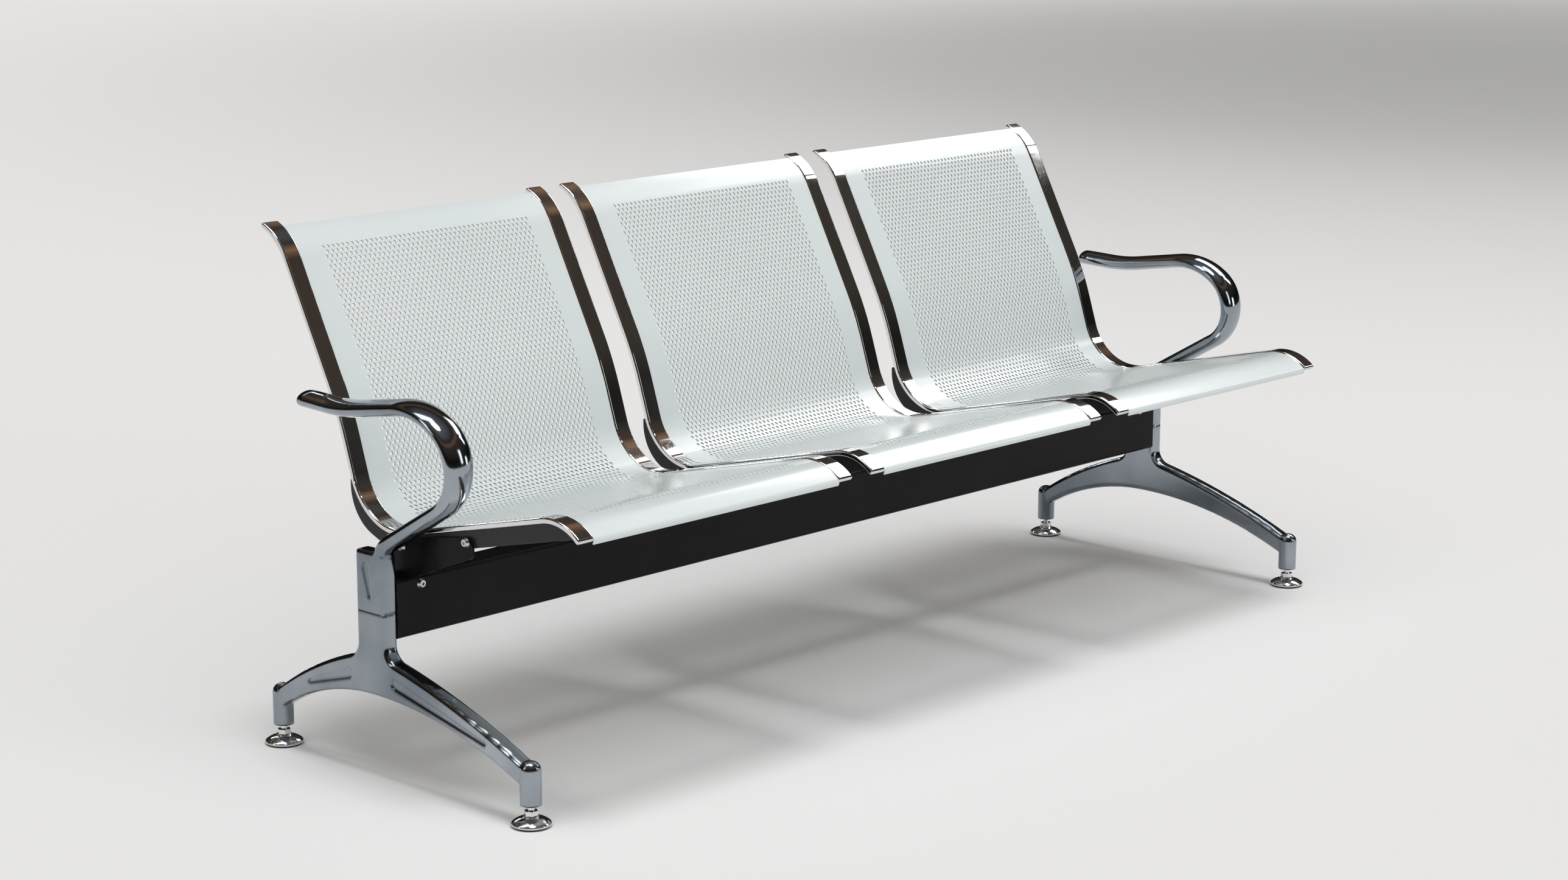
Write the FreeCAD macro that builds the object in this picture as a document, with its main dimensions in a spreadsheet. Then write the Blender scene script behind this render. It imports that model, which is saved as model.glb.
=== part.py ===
"""Beam seating: three perforated seats on one steel beam, carried by two cast legs with armrests.

The frame: X along the beam, -Y the front, Z up, the origin on the floor under the middle of the
object's box. Every sub-part is drawn around the beam's own centre plane, and its placement moves it
to its place along X and back by beam_y, so that the box stays centred when a size changes.
"""
import FreeCAD, Part
import math
import os
from FreeCAD import Placement, Rotation, Vector

SIZES = [
    # Seats along the beam
    ("seat_width", 533.5),
    ("seat_spacing", 41.5),
    ("leg_gap", 33.8),
    # Side profile of the seat: the rail's upper face, from the top of the back to the front roll
    ("seat_rise", 64.74),
    ("bend_back", 2.15),
    ("crest_angle", 22.0),
    ("crest_radius", 100.0),
    ("back_angle", 62.1),
    ("back_length", 188.6),
    ("lumbar_radius", 493.0),
    ("lower_back_angle", 72.0),
    ("lower_back_length", 51.0),
    ("bend_radius", 90.9),
    ("seat_rise_angle", 13.1),
    ("seat_length", 287.6),
    ("roll_radius", 84.7),
    ("roll_angle", 39.9),
    # Rails and the sheet between them
    ("rail_width", 28.0),
    ("rail_thickness", 8.5),
    ("rail_edge_radius", 2.5),
    ("sheet_thickness", 1.8),
    ("sheet_drop", 2.0),
    ("sheet_top_gap", 9.0),
    ("lip_radius", 7.0),
    ("lip_turn", 95.0),
    # Side plates under the rails
    ("plate_thickness", 5.0),
    ("plate_band", 26.0),
    ("plate_rise", 53.3),
    ("plate_reach_back", 107.85),
    ("plate_corner", 70.0),
    ("plate_rear_angle", 22.0),
    # Beam
    ("beam_height", 84.0),
    ("beam_depth", 52.0),
    ("beam_wall", 3.0),
    ("beam_bottom", 201.0),
    ("beam_corner", 5.0),
    # Brackets between the beam and the side plates
    ("bracket_thickness", 5.0),
    ("flange_width", 42.0),
    ("flange_bolt_edge", 9.5),
    ("bracket_rear_drop", 16.7),
    ("bracket_reach", 127.0),
    ("bracket_tip_drop", 0.7),
    ("bracket_tip_radius", 15.0),
    ("bracket_heel_radius", 10.5),
    ("bracket_bolt_spacing", 26.0),
    ("front_bolt_inset", 12.0),
    ("front_bolt_rise", 5.3),
    ("rear_bolt_reach", 5.0),
    ("rear_bolt_drop", 23.7),
    # Castings at the two ends
    ("casting_width", 26.0),
    ("post_depth", 60.0),
    ("post_edge_radius", 7.0),
    ("seam_height", 240.0),
    ("shoulder_height", 327.0),
    ("shoulder_radius", 5.6),
    ("arm_spigot_length", 53.0),
    ("leg_spigot_length", 70.0),
    ("spigot_clearance", 0.5),
    # Armrest loop: the middle line of its oval, from the rear tip round the front to the post
    ("arm_width", 44.0),
    ("arm_thickness", 24.0),
    ("arm_root_width", 26.0),
    ("arm_tip_angle", 2.0),
    ("arm_tip_length", 53.0),
    ("arm_dip_radius", 330.0),
    ("arm_rise_angle", 9.0),
    ("arm_rise_length", 89.5),
    ("arm_shoulder_radius", 115.0),
    ("arm_shoulder_angle", 35.0),
    ("arm_front_radius", 66.0),
    ("arm_return_angle", 150.0),
    ("arm_return_length", 130.0),
    ("arm_root_radius", 45.0),
    ("arm_root_angle", 100.0),
    ("arm_root_back", 17.8),
    ("arm_root_depth", 15.75),
    # Leg
    ("foot_front", 310.0),
    ("foot_rear", 222.0),
    ("arch_height", 120.0),
    ("arch_end_height", 52.0),
    ("arm_crown_height", 176.0),
    ("leg_end_height", 85.0),
    ("leg_bulge", 8.5),
    ("leg_root_radius", 24.0),
    ("boss_diameter", 30.0),
    ("boss_bottom", 30.0),
    ("boss_top", 91.0),
    ("boss_dome", 11.0),
    # Shallow hollows in the outer faces of the castings
    ("hollow_depth", 2.5),
    ("hollow_tail_radius", 3.0),
    ("post_hollow_radius", 7.0),
    ("post_hollow_drop", 23.0),
    ("post_hollow_rise", 22.0),
    ("post_hollow_back", 12.0),
    ("post_hollow_lean", 8.0),
    ("leg_hollow_radius", 8.0),
    ("leg_hollow_start", 20.0),
    ("leg_hollow_end", 78.0),
    # Levelling feet
    ("stem_diameter", 10.0),
    ("stem_clearance", 0.08),
    ("stem_length", 67.7),
    ("bore_depth", 52.0),
    ("collar_flats", 17.0),
    ("collar_height", 6.7),
    ("disc_diameter", 56.0),
    ("disc_rim_height", 2.5),
    ("disc_height", 12.0),
    ("disc_dome_height", 7.1),
    ("disc_dome_bulge", 1.8),
    ("hub_diameter", 21.0),
    ("head_diameter", 14.0),
    ("head_height", 4.0),
    ("foot_pad_diameter", 51.0),
    ("foot_pad_thickness", 3.0),
    ("foot_gap", 0.3),
    # Fasteners
    ("bolt_diameter", 8.0),
    ("bolt_clearance", 0.2),
    ("bolt_head_diameter", 14.0),
    ("bolt_head_height", 4.4),
    ("bolt_socket", 5.0),
    ("washer_diameter", 17.0),
    ("washer_thickness", 1.6),
    ("nut_flats", 13.0),
    ("nut_height", 6.5),
    ("insert_diameter", 11.0),
    ("insert_length", 16.0),
    ("bolt_spare", 2.0),
    ("armrest_bolt_inset", 10.0),
    ("armrest_bolt_drop", 11.0),
    ("leg_bolt_reach", 43.0),
    ("leg_bolt_spacing", 30.0),
    ("end_bolt_grip", 14.0),
    ("end_bore_spare", 10.0),
]
SEAT_COUNT = 3
# A cut that goes right through a wall is this many times as deep as the wall
THROUGH = 3

doc = FreeCAD.newDocument("beam_seating")
sheet = doc.addObject("Spreadsheet::Sheet", "sizes")
for row, (alias, value) in enumerate(SIZES, start=1):
    sheet.set("A%d" % row, alias)
    sheet.set("B%d" % row, str(value))
    sheet.setAlias("B%d" % row, alias)
doc.recompute()


def size(alias):
    """A driving dimension, read back from the sheet."""
    return float(sheet.get(alias))


class Trace:
    """A pen that draws tangent lines and arcs in the YZ plane.

    The heading is in degrees below the horizontal, seen while going forward (towards -Y). A right
    turn, such as over the front roll, makes the heading grow.
    """

    def __init__(self, y, z, heading):
        self.y = y
        self.z = z
        self.heading = math.radians(heading)
        self.edges = []

    def point(self):
        return Vector(self.y, self.z, 0)

    def forward(self, length):
        start = self.point()
        self.y -= length * math.cos(self.heading)
        self.z -= length * math.sin(self.heading)
        self.edges.append(Part.LineSegment(start, self.point()))
        return self

    def turn_to(self, heading, radius):
        start = self.point()
        first = self.heading
        last = math.radians(heading)
        sign = 1 if last > first else -1
        centre_y = self.y + sign * radius * math.sin(first)
        centre_z = self.z - sign * radius * math.cos(first)

        def on_arc(angle):
            across = centre_y - sign * radius * math.sin(angle)
            up = centre_z + sign * radius * math.cos(angle)
            return Vector(across, up, 0)

        end = on_arc(last)
        self.edges.append(Part.Arc(start, on_arc((first + last) / 2), end))
        self.y = end.x
        self.z = end.y
        self.heading = last
        return self

    def line_to(self, y, z):
        start = self.point()
        self.y = y
        self.z = z
        self.edges.append(Part.LineSegment(start, self.point()))
        return self


def bend_centre():
    """The centre of the bend between the back and the seat, over the beam."""
    beam_top = size("beam_bottom") + size("beam_height")
    return size("bend_back"), beam_top + size("seat_rise") + size("bend_radius")


def trace_back(pen, depth):
    """The back of the seat, from the crest down to the start of the bend."""
    pen.turn_to(size("back_angle"), size("crest_radius") - depth)
    pen.forward(size("back_length"))
    pen.turn_to(size("lower_back_angle"), size("lumbar_radius") - depth)
    pen.forward(size("lower_back_length"))
    return pen


def seat_start(depth):
    """Where the seat's profile starts, at a depth below the rails' upper face.

    The bend has its place over the beam, so a trial back is drawn first and moved to meet it.
    """
    trial = trace_back(Trace(0, 0, size("crest_angle")), 0)
    centre_y, centre_z = bend_centre()
    y = centre_y + size("bend_radius") * math.sin(trial.heading) - trial.y
    z = centre_z - size("bend_radius") * math.cos(trial.heading) - trial.z
    angle = math.radians(size("crest_angle"))
    return Trace(y + depth * math.sin(angle), z - depth * math.cos(angle), size("crest_angle"))


def trace_seat(depth, roll_angle, skipped=0.0):
    """The seat's profile at a depth below the rails' upper face, ending at a heading on the roll.

    skipped is the length, along the crest, by which a piece starts further down.
    """
    pen = seat_start(depth)
    if skipped > 0:
        crest_radius = size("crest_radius") - depth
        pen.turn_to(size("crest_angle") + math.degrees(skipped / crest_radius), crest_radius)
        pen.edges.clear()
    trace_back(pen, depth)
    pen.turn_to(-size("seat_rise_angle"), size("bend_radius") + depth)
    pen.forward(size("seat_length"))
    pen.turn_to(roll_angle, size("roll_radius") - depth)
    return pen


def first_point(edges):
    return edges[0].StartPoint


def round_cap(from_point, to_point, heading, facing):
    """A half round between the two faces of a strip, bulging along or against its heading."""
    middle = (from_point + to_point) * 0.5
    radius = from_point.distanceToPoint(to_point) / 2
    angle = math.radians(heading)
    along = Vector(-math.cos(angle), -math.sin(angle), 0)
    return Part.Arc(from_point, middle + along * (facing * radius), to_point)


def rail_outline():
    roll_angle = size("roll_angle")
    upper = trace_seat(0, roll_angle)
    lower = trace_seat(size("rail_thickness"), roll_angle)
    tail = round_cap(first_point(upper.edges), first_point(lower.edges), size("crest_angle"), -1)
    nose = round_cap(upper.point(), lower.point(), roll_angle, 1)
    return upper.edges + lower.edges + [tail, nose]


def trace_sheet(depth):
    """One face of the sheet: the seat's profile, then a small curl that makes the front lip."""
    pen = trace_seat(depth, size("roll_angle"), size("sheet_top_gap"))
    extra_depth = depth - size("sheet_drop")
    pen.turn_to(size("roll_angle") + size("lip_turn"), size("lip_radius") - extra_depth)
    return pen


def sheet_outline():
    upper = trace_sheet(size("sheet_drop"))
    lower = trace_sheet(size("sheet_drop") + size("sheet_thickness"))
    top_edge = Part.LineSegment(first_point(upper.edges), first_point(lower.edges))
    lip_edge = Part.LineSegment(upper.point(), lower.point())
    return upper.edges + lower.edges + [top_edge, lip_edge]


def middle_of_box():
    """The Y of the middle between the rearmost and foremost points, from the beam's centre plane."""
    low = []
    high = []
    for outline in (rail_outline(), sheet_outline()):
        for curve in outline:
            box = curve.toShape().optimalBoundingBox(False, False)
            low.append(box.XMin)
            high.append(box.XMax)
    return (min(low) + max(high)) / 2


def add_derived_sizes():
    """Places that follow from the driving dimensions, kept in the sheet for the placements."""
    derived = [
        ("beam_y", str(-middle_of_box())),
        ("seat_pitch", "=seat_width + seat_spacing"),
        ("leg_plane", "=(seat_pitch * %d + seat_width) / 2 + leg_gap" % (SEAT_COUNT - 1)),
        ("beam_top", "=beam_bottom + beam_height"),
        ("seat_bottom", "=beam_top + seat_rise"),
        ("beam_length", "=2 * leg_plane - casting_width"),
        ("rail_offset", "=(seat_width - rail_width) / 2"),
        ("web_offset", "=(plate_thickness + bracket_thickness) / 2"),
        ("flange_bolt_offset", "=web_offset + bracket_thickness / 2 + flange_bolt_edge - flange_width"),
        ("front_bolt_reach", "=bracket_reach + beam_depth / 2 - front_bolt_inset"),
        ("armrest_bolt_reach", "=arm_spigot_length - armrest_bolt_inset"),
    ]
    for row, (alias, value) in enumerate(derived, start=len(SIZES) + 1):
        sheet.set("A%d" % row, alias)
        sheet.set("B%d" % row, value)
        sheet.setAlias("B%d" % row, alias)
    doc.recompute()


def new_body(name):
    body = doc.addObject("PartDesign::Body", name)
    body.Label = name
    return body


def plane_of(body, role):
    return next(item for item in body.Origin.OriginFeatures if item.Role == role)


def add_sketch(body, name, role, edges, height=0.0):
    """A sketch of ready-made edges on one of the body's own planes, raised along its normal."""
    sketch = body.newObject("Sketcher::SketchObject", body.Name + "_" + name)
    sketch.AttachmentSupport = (plane_of(body, role), [""])
    sketch.MapMode = "FlatFace"
    sketch.AttachmentOffset = Placement(Vector(0, 0, height), Rotation())
    for edge in edges:
        sketch.addGeometry(edge, False)
    return sketch


def add_pad(body, sketch, length, symmetric=True, reversed_way=False):
    """A pad whose length is an expression on the sheet."""
    pad = body.newObject("PartDesign::Pad", sketch.Name + "_pad")
    pad.Profile = sketch
    pad.SideType = "Symmetric" if symmetric else "One side"
    pad.Reversed = reversed_way
    pad.setExpression("Length", length)
    doc.recompute()
    return pad


def add_pocket(body, sketch, length, reversed_way=False, symmetric=False):
    """A pocket that has to take something away, or the build stops."""
    before = body.Shape.Volume
    pocket = body.newObject("PartDesign::Pocket", sketch.Name + "_pocket")
    pocket.Profile = sketch
    pocket.SideType = "Symmetric" if symmetric else "One side"
    pocket.Reversed = reversed_way
    pocket.setExpression("Length", length)
    doc.recompute()
    if body.Shape.Volume >= before - 0.01:
        raise ValueError(sketch.Name + " cuts nothing")
    return pocket


def add_fillet(body, name, base, edge_names, radius):
    fillet = body.newObject("PartDesign::Fillet", body.Name + "_" + name)
    fillet.Base = (base, edge_names)
    fillet.setExpression("Radius", radius)
    doc.recompute()
    return fillet


def edges_where(feature, test):
    """Names of the feature's edges whose middle point passes a test."""
    names = []
    for number, edge in enumerate(feature.Shape.Edges, start=1):
        middle = edge.valueAt((edge.FirstParameter + edge.LastParameter) / 2)
        if test(edge, middle):
            names.append("Edge%d" % number)
    return names


def runs_along_x(edge):
    start = edge.valueAt(edge.FirstParameter)
    end = edge.valueAt(edge.LastParameter)
    return abs(start.x - end.x) > 0.1


def rectangle(low_u, low_v, high_u, high_v):
    corners = [
        Vector(low_u, low_v, 0),
        Vector(high_u, low_v, 0),
        Vector(high_u, high_v, 0),
        Vector(low_u, high_v, 0),
    ]
    return [Part.LineSegment(corners[k], corners[(k + 1) % 4]) for k in range(4)]


def circle(u, v, radius):
    return [Part.Circle(Vector(u, v, 0), Vector(0, 0, 1), radius)]


def rounded_polygon(corners):
    """Edges of a polygon whose corners (u, v, radius) are rounded by tangent arcs."""
    count = len(corners)
    starts = []
    ends = []
    arcs = []
    for k in range(count):
        here = Vector(corners[k][0], corners[k][1], 0)
        before = Vector(corners[k - 1][0], corners[k - 1][1], 0)
        after = Vector(corners[(k + 1) % count][0], corners[(k + 1) % count][1], 0)
        radius = corners[k][2]
        way_in = (before - here).normalize()
        way_out = (after - here).normalize()
        half_angle = way_in.getAngle(way_out) / 2
        if radius <= 0:
            starts.append(here)
            ends.append(here)
            continue
        cut = radius / math.tan(half_angle)
        bisector = (way_in + way_out).normalize()
        centre = here + bisector * (radius / math.sin(half_angle))
        starts.append(here + way_in * cut)
        ends.append(here + way_out * cut)
        arcs.append(Part.Arc(starts[-1], centre - bisector * radius, ends[-1]))
    lines = [Part.LineSegment(ends[k - 1], starts[k]) for k in range(count)]
    return lines + arcs


def rounded_rectangle(low_u, low_v, high_u, high_v, radius):
    corners = [(low_u, low_v), (high_u, low_v), (high_u, high_v), (low_u, high_v)]
    return rounded_polygon([(u, v, radius) for u, v in corners])


def tapered_slot(start, end, start_radius, end_radius):
    """A drop shape: two arcs of different radius joined by their common tangents."""
    axis = end - start
    length = axis.Length
    along = axis.normalize()
    across = Vector(-along.y, along.x, 0)
    lean = math.asin((start_radius - end_radius) / length)
    edges = []
    touches = {}
    for side in (1, -1):
        normal = along * math.sin(lean) + across * (side * math.cos(lean))
        touches[side] = (start + normal * start_radius, end + normal * end_radius)
        edges.append(Part.LineSegment(*touches[side]))
    edges.append(Part.Arc(touches[1][0], start - along * start_radius, touches[-1][0]))
    edges.append(Part.Arc(touches[1][1], end + along * end_radius, touches[-1][1]))
    return edges


def place(item, x="0", y="sizes.beam_y", z="0"):
    """Bind an object's place to expressions on the sheet."""
    item.setExpression("Placement.Base.x", x)
    item.setExpression("Placement.Base.y", y)
    item.setExpression("Placement.Base.z", z)


def seat_x(seat):
    """The middle of a seat along the beam, as an expression."""
    return "(%d - %g) * sizes.seat_pitch" % (seat, (SEAT_COUNT - 1) / 2)


def rail_x(seat, side):
    return "%s + %d * sizes.rail_offset" % (seat_x(seat), side)


def leg_x(side):
    return "%d * sizes.leg_plane" % side


def make_rail(name, seat, side):
    """A chromed flat bar bent to the seat's profile, with rounded edges and round ends."""
    body = new_body(name)
    bar = add_pad(body, add_sketch(body, "profile", "YZ_Plane", rail_outline()), "sizes.rail_width")
    long_edges = edges_where(bar, lambda edge, middle: not runs_along_x(edge))
    add_fillet(body, "edges", bar, long_edges, "sizes.rail_edge_radius")
    place(body, rail_x(seat, side))
    return body


def make_panel(name, seat):
    """The sheet of one seat and back, in one piece, with a curled front lip."""
    body = new_body(name)
    sketch = add_sketch(body, "profile", "YZ_Plane", sheet_outline())
    add_pad(body, sketch, "sizes.seat_width - 2 * sizes.rail_width")
    place(body, seat_x(seat))
    return body


def plate_outline():
    """The black plate under a rail: a band along the seat that turns up behind the bend."""
    centre_y, centre_z = bend_centre()
    rail_radius = size("bend_radius") + size("rail_thickness")
    band_radius = rail_radius + size("plate_band")
    rise = size("seat_rise_angle")
    plate_top = size("seat_bottom") + size("plate_rise")
    top_angle = math.degrees(math.acos((centre_z - plate_top) / rail_radius))
    roll_inner = size("roll_radius") - size("rail_thickness")
    nose_angle = math.degrees(math.acos((roll_inner - size("plate_band")) / roll_inner)) - rise

    def on_bend(radius, angle):
        turned = math.radians(angle)
        return centre_y + radius * math.sin(turned), centre_z - radius * math.cos(turned)

    under_rail = Trace(*on_bend(rail_radius, top_angle), top_angle)
    under_rail.turn_to(-rise, rail_radius)
    under_rail.forward(size("seat_length"))
    under_rail.turn_to(nose_angle, roll_inner)

    rear = centre_y + size("plate_reach_back")
    rear_angle = size("plate_rear_angle")
    lower = Trace(*on_bend(band_radius, rear_angle), rear_angle)
    slope = math.radians(rear_angle)
    corner = size("plate_corner")
    ramp = ((rear - lower.y) - corner * (1 - math.sin(slope))) / math.cos(slope)
    back_edge = Trace(rear, plate_top, 90)
    corner_start_y = lower.y + ramp * math.cos(slope)
    corner_start_z = lower.z + ramp * math.sin(slope)
    corner_end_z = corner_start_z + corner * math.cos(slope)
    back_edge.line_to(rear, corner_end_z)
    back_edge.turn_to(rear_angle, corner)
    back_edge.line_to(lower.y, lower.z)
    back_edge.heading = slope
    back_edge.turn_to(-rise, band_radius)
    back_edge.line_to(under_rail.y, under_rail.z)
    top_edge = Part.LineSegment(first_point(back_edge.edges), first_point(under_rail.edges))
    return under_rail.edges + back_edge.edges + [top_edge]


def make_side_plate(name, seat, side):
    body = new_body(name)
    add_pad(body, add_sketch(body, "outline", "YZ_Plane", plate_outline()), "sizes.plate_thickness")
    holes = []
    for y, z in plate_bolt_places():
        holes += circle(y, z, size("bolt_diameter") / 2 + size("bolt_clearance"))
    sketch = add_sketch(body, "holes", "YZ_Plane", holes)
    add_pocket(body, sketch, "sizes.plate_thickness * %d" % THROUGH, symmetric=True)
    place(body, rail_x(seat, side))
    return body


def plate_bolt_places():
    """The two bolts that join a side plate to its bracket, (y, z) from the beam's centre plane."""
    front = (-size("front_bolt_reach"), size("seat_bottom") + size("front_bolt_rise"))
    rear = (-size("rear_bolt_reach"), size("seat_bottom") - size("rear_bolt_drop"))
    return [front, rear]


def bracket_outline():
    """The bracket's web: a wedge on the beam that reaches forward to a rounded tip."""
    top = size("beam_top")
    half = size("beam_depth") / 2
    tip_radius = size("bracket_tip_radius")
    tip_y = -size("bracket_reach") - half
    tip_middle = size("seat_bottom") - size("bracket_tip_drop")
    return rounded_polygon([
        (half, top, 0),
        (half, size("seat_bottom") - size("bracket_rear_drop"), tip_radius),
        (tip_y, tip_middle + tip_radius, tip_radius),
        (tip_y, tip_middle - tip_radius, size("bracket_heel_radius")),
        (-half, top, 0),
    ])


def make_bracket(name, seat, side):
    """A black bracket: a web beside the side plate, and a flange bolted down on the beam."""
    body = new_body(name)
    add_pad(body, add_sketch(body, "web", "YZ_Plane", bracket_outline()), "sizes.bracket_thickness")
    half_web = size("bracket_thickness") / 2
    half_beam = size("beam_depth") / 2
    outer = side * half_web
    inner = side * (half_web - size("flange_width"))
    flange = rectangle(min(outer, inner), -half_beam, max(outer, inner), half_beam)
    top = size("beam_top")
    flange_sketch = add_sketch(body, "flange", "XY_Plane", flange, top)
    add_pad(body, flange_sketch, "sizes.bracket_thickness", symmetric=False)
    holes = []
    for y, z in plate_bolt_places():
        holes += circle(y, z, size("bolt_diameter") / 2 + size("bolt_clearance"))
    web_holes = add_sketch(body, "web_holes", "YZ_Plane", holes)
    add_pocket(body, web_holes, "sizes.bracket_thickness * %d" % THROUGH, symmetric=True)
    seats = []
    bolt_x = inner + side * size("flange_bolt_edge")
    for way in (-1, 1):
        y = way * size("bracket_bolt_spacing") / 2
        seats += circle(bolt_x, y, size("bolt_diameter") / 2 + size("bolt_clearance"))
    depth = "sizes.bracket_thickness * %d" % THROUGH
    add_pocket(body, add_sketch(body, "flange_holes", "XY_Plane", seats, top), depth, symmetric=True)
    place(body, "%s + %d * sizes.web_offset" % (rail_x(seat, side), side))
    return body


def flange_bolt_x(side):
    """How far the flange's bolts lie from the rail's middle, as an expression."""
    return "%d * sizes.flange_bolt_offset" % side


def make_beam():
    """A rectangular steel tube, drilled for the brackets and for both castings."""
    body = new_body("beam")
    bottom = size("beam_bottom")
    top = size("beam_top")
    half = size("beam_depth") / 2
    wall = size("beam_wall")
    corner = size("beam_corner")

    def section(inset, radius):
        low = bottom + inset
        high = top - inset
        reach = half - inset
        return rounded_rectangle(-reach, low, reach, high, radius)

    edges = section(0, corner) + section(wall, corner - wall)
    add_pad(body, add_sketch(body, "section", "YZ_Plane", edges), "sizes.beam_length")

    top_holes = []
    insert_radius = size("insert_diameter") / 2
    for seat in range(SEAT_COUNT):
        for side in (-1, 1):
            rail = (seat - (SEAT_COUNT - 1) / 2) * size("seat_pitch") + side * size("rail_offset")
            x = rail + side * size("flange_bolt_offset")
            for way in (-1, 1):
                top_holes += circle(x, way * size("bracket_bolt_spacing") / 2, insert_radius)
    sketch = add_sketch(body, "insert_holes", "XY_Plane", top_holes, top)
    add_pocket(body, sketch, "sizes.beam_wall * %d" % THROUGH, symmetric=True)

    bolt_radius = size("bolt_diameter") / 2 + size("bolt_clearance")
    end = size("beam_length") / 2 - size("armrest_bolt_reach")
    side_holes = circle(-end, top - size("armrest_bolt_drop"), bolt_radius)
    side_holes += circle(end, top - size("armrest_bolt_drop"), bolt_radius)
    sketch = add_sketch(body, "armrest_holes", "XZ_Plane", side_holes)
    add_pocket(body, sketch, "sizes.beam_depth * %d" % THROUGH, symmetric=True)

    bottom_holes = []
    leg_bolts = size("beam_length") / 2 - size("leg_bolt_reach")
    for x in (-leg_bolts, leg_bolts):
        for way in (-1, 1):
            bottom_holes += circle(x + way * size("leg_bolt_spacing") / 2, 0, bolt_radius)
    sketch = add_sketch(body, "leg_holes", "XY_Plane", bottom_holes, bottom)
    add_pocket(body, sketch, "sizes.beam_wall * %d" % THROUGH, symmetric=True)
    place(body)
    return body


def post_section():
    """The post's outline seen from above: flush with the beam's front, deeper at the back."""
    front = -size("beam_depth") / 2
    back = front + size("post_depth")
    half = size("casting_width") / 2
    radius = size("post_edge_radius")
    return rounded_rectangle(-half, front, half, back, radius)


def add_spigot(body, side, spigot_length, low, height):
    """The block that fills one half of the beam's end; its height is an expression."""
    reach = size("beam_depth") / 2 - size("beam_wall") - size("spigot_clearance")
    inner_face = -side * size("casting_width") / 2
    root = -side * size("post_edge_radius") / 2
    tip = inner_face - side * spigot_length
    outline = rectangle(min(root, tip), -reach, max(root, tip), reach)
    sketch = add_sketch(body, "spigot", "XY_Plane", outline, low)
    return add_pad(body, sketch, height, symmetric=False)


def add_hollow(body, name, side, edges):
    """A shallow hollow in the casting's outer face."""
    face = side * (size("casting_width") / 2 - size("hollow_depth"))
    sketch = add_sketch(body, name, "YZ_Plane", edges, face)
    return add_pocket(body, sketch, "sizes.hollow_depth * %d" % THROUGH, reversed_way=side > 0)


def arm_spine():
    """The middle line of the armrest's oval, from its rear tip to inside the post.

    Its end has its place in the post, so a trial line is drawn first and moved to meet it.
    """
    trial, narrowing = trace_arm(Trace(0, 0, size("arm_tip_angle")))
    root_y = size("arm_root_back") - size("beam_depth") / 2
    root_z = size("shoulder_height") - size("arm_root_depth")
    return trace_arm(Trace(root_y - trial.y, root_z - trial.z, size("arm_tip_angle")))


def trace_arm(pen):
    """The armrest's middle line, and where its oval starts to narrow."""
    pen.forward(size("arm_tip_length"))
    pen.turn_to(-size("arm_rise_angle"), size("arm_dip_radius"))
    pen.forward(size("arm_rise_length"))
    pen.turn_to(size("arm_shoulder_angle"), size("arm_shoulder_radius"))
    pen.turn_to(size("arm_return_angle"), size("arm_front_radius"))
    narrowing = (pen.y, pen.z, pen.heading)
    pen.forward(size("arm_return_length"))
    pen.turn_to(size("arm_root_angle"), size("arm_root_radius"))
    return pen, narrowing


def section_sketch(body, name, y, z, heading, width, thickness):
    """An oval across the armrest's middle line."""
    sketch = body.newObject("Sketcher::SketchObject", body.Name + "_" + name)
    across = Vector(1, 0, 0)
    along = Vector(0, -math.cos(heading), -math.sin(heading))
    sketch.Placement = Placement(Vector(0, y, z), Rotation(across, along.cross(across), along, "ZXY"))
    oval = Part.Ellipse(Vector(0, 0, 0), width / 2, thickness / 2)
    sketch.addGeometry(oval, False)
    return sketch


def add_arm_tip(body, start):
    """The rounded rear end: the oval's half turned about the armrest's width."""
    angle = math.radians(size("arm_tip_angle"))
    sketch = body.newObject("Sketcher::SketchObject", body.Name + "_tip")
    across = Vector(1, 0, 0)
    along = Vector(0, -math.cos(angle), -math.sin(angle))
    centre = Vector(0, start.x, start.y)
    sketch.Placement = Placement(centre, Rotation(across, along.cross(across), along, "ZXY"))
    half_width = size("arm_width") / 2
    half_thickness = size("arm_thickness") / 2
    oval = Part.Ellipse(Vector(0, 0, 0), half_width, half_thickness)
    sketch.addGeometry(Part.ArcOfEllipse(oval, 0, math.pi), False)
    sketch.addGeometry(Part.LineSegment(Vector(-half_width, 0, 0), Vector(half_width, 0, 0)), False)
    tip = body.newObject("PartDesign::Revolution", body.Name + "_round_tip")
    tip.Profile = sketch
    tip.ReferenceAxis = (sketch, ["H_Axis"])
    tip.Angle = 360
    doc.recompute()
    return tip


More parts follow.
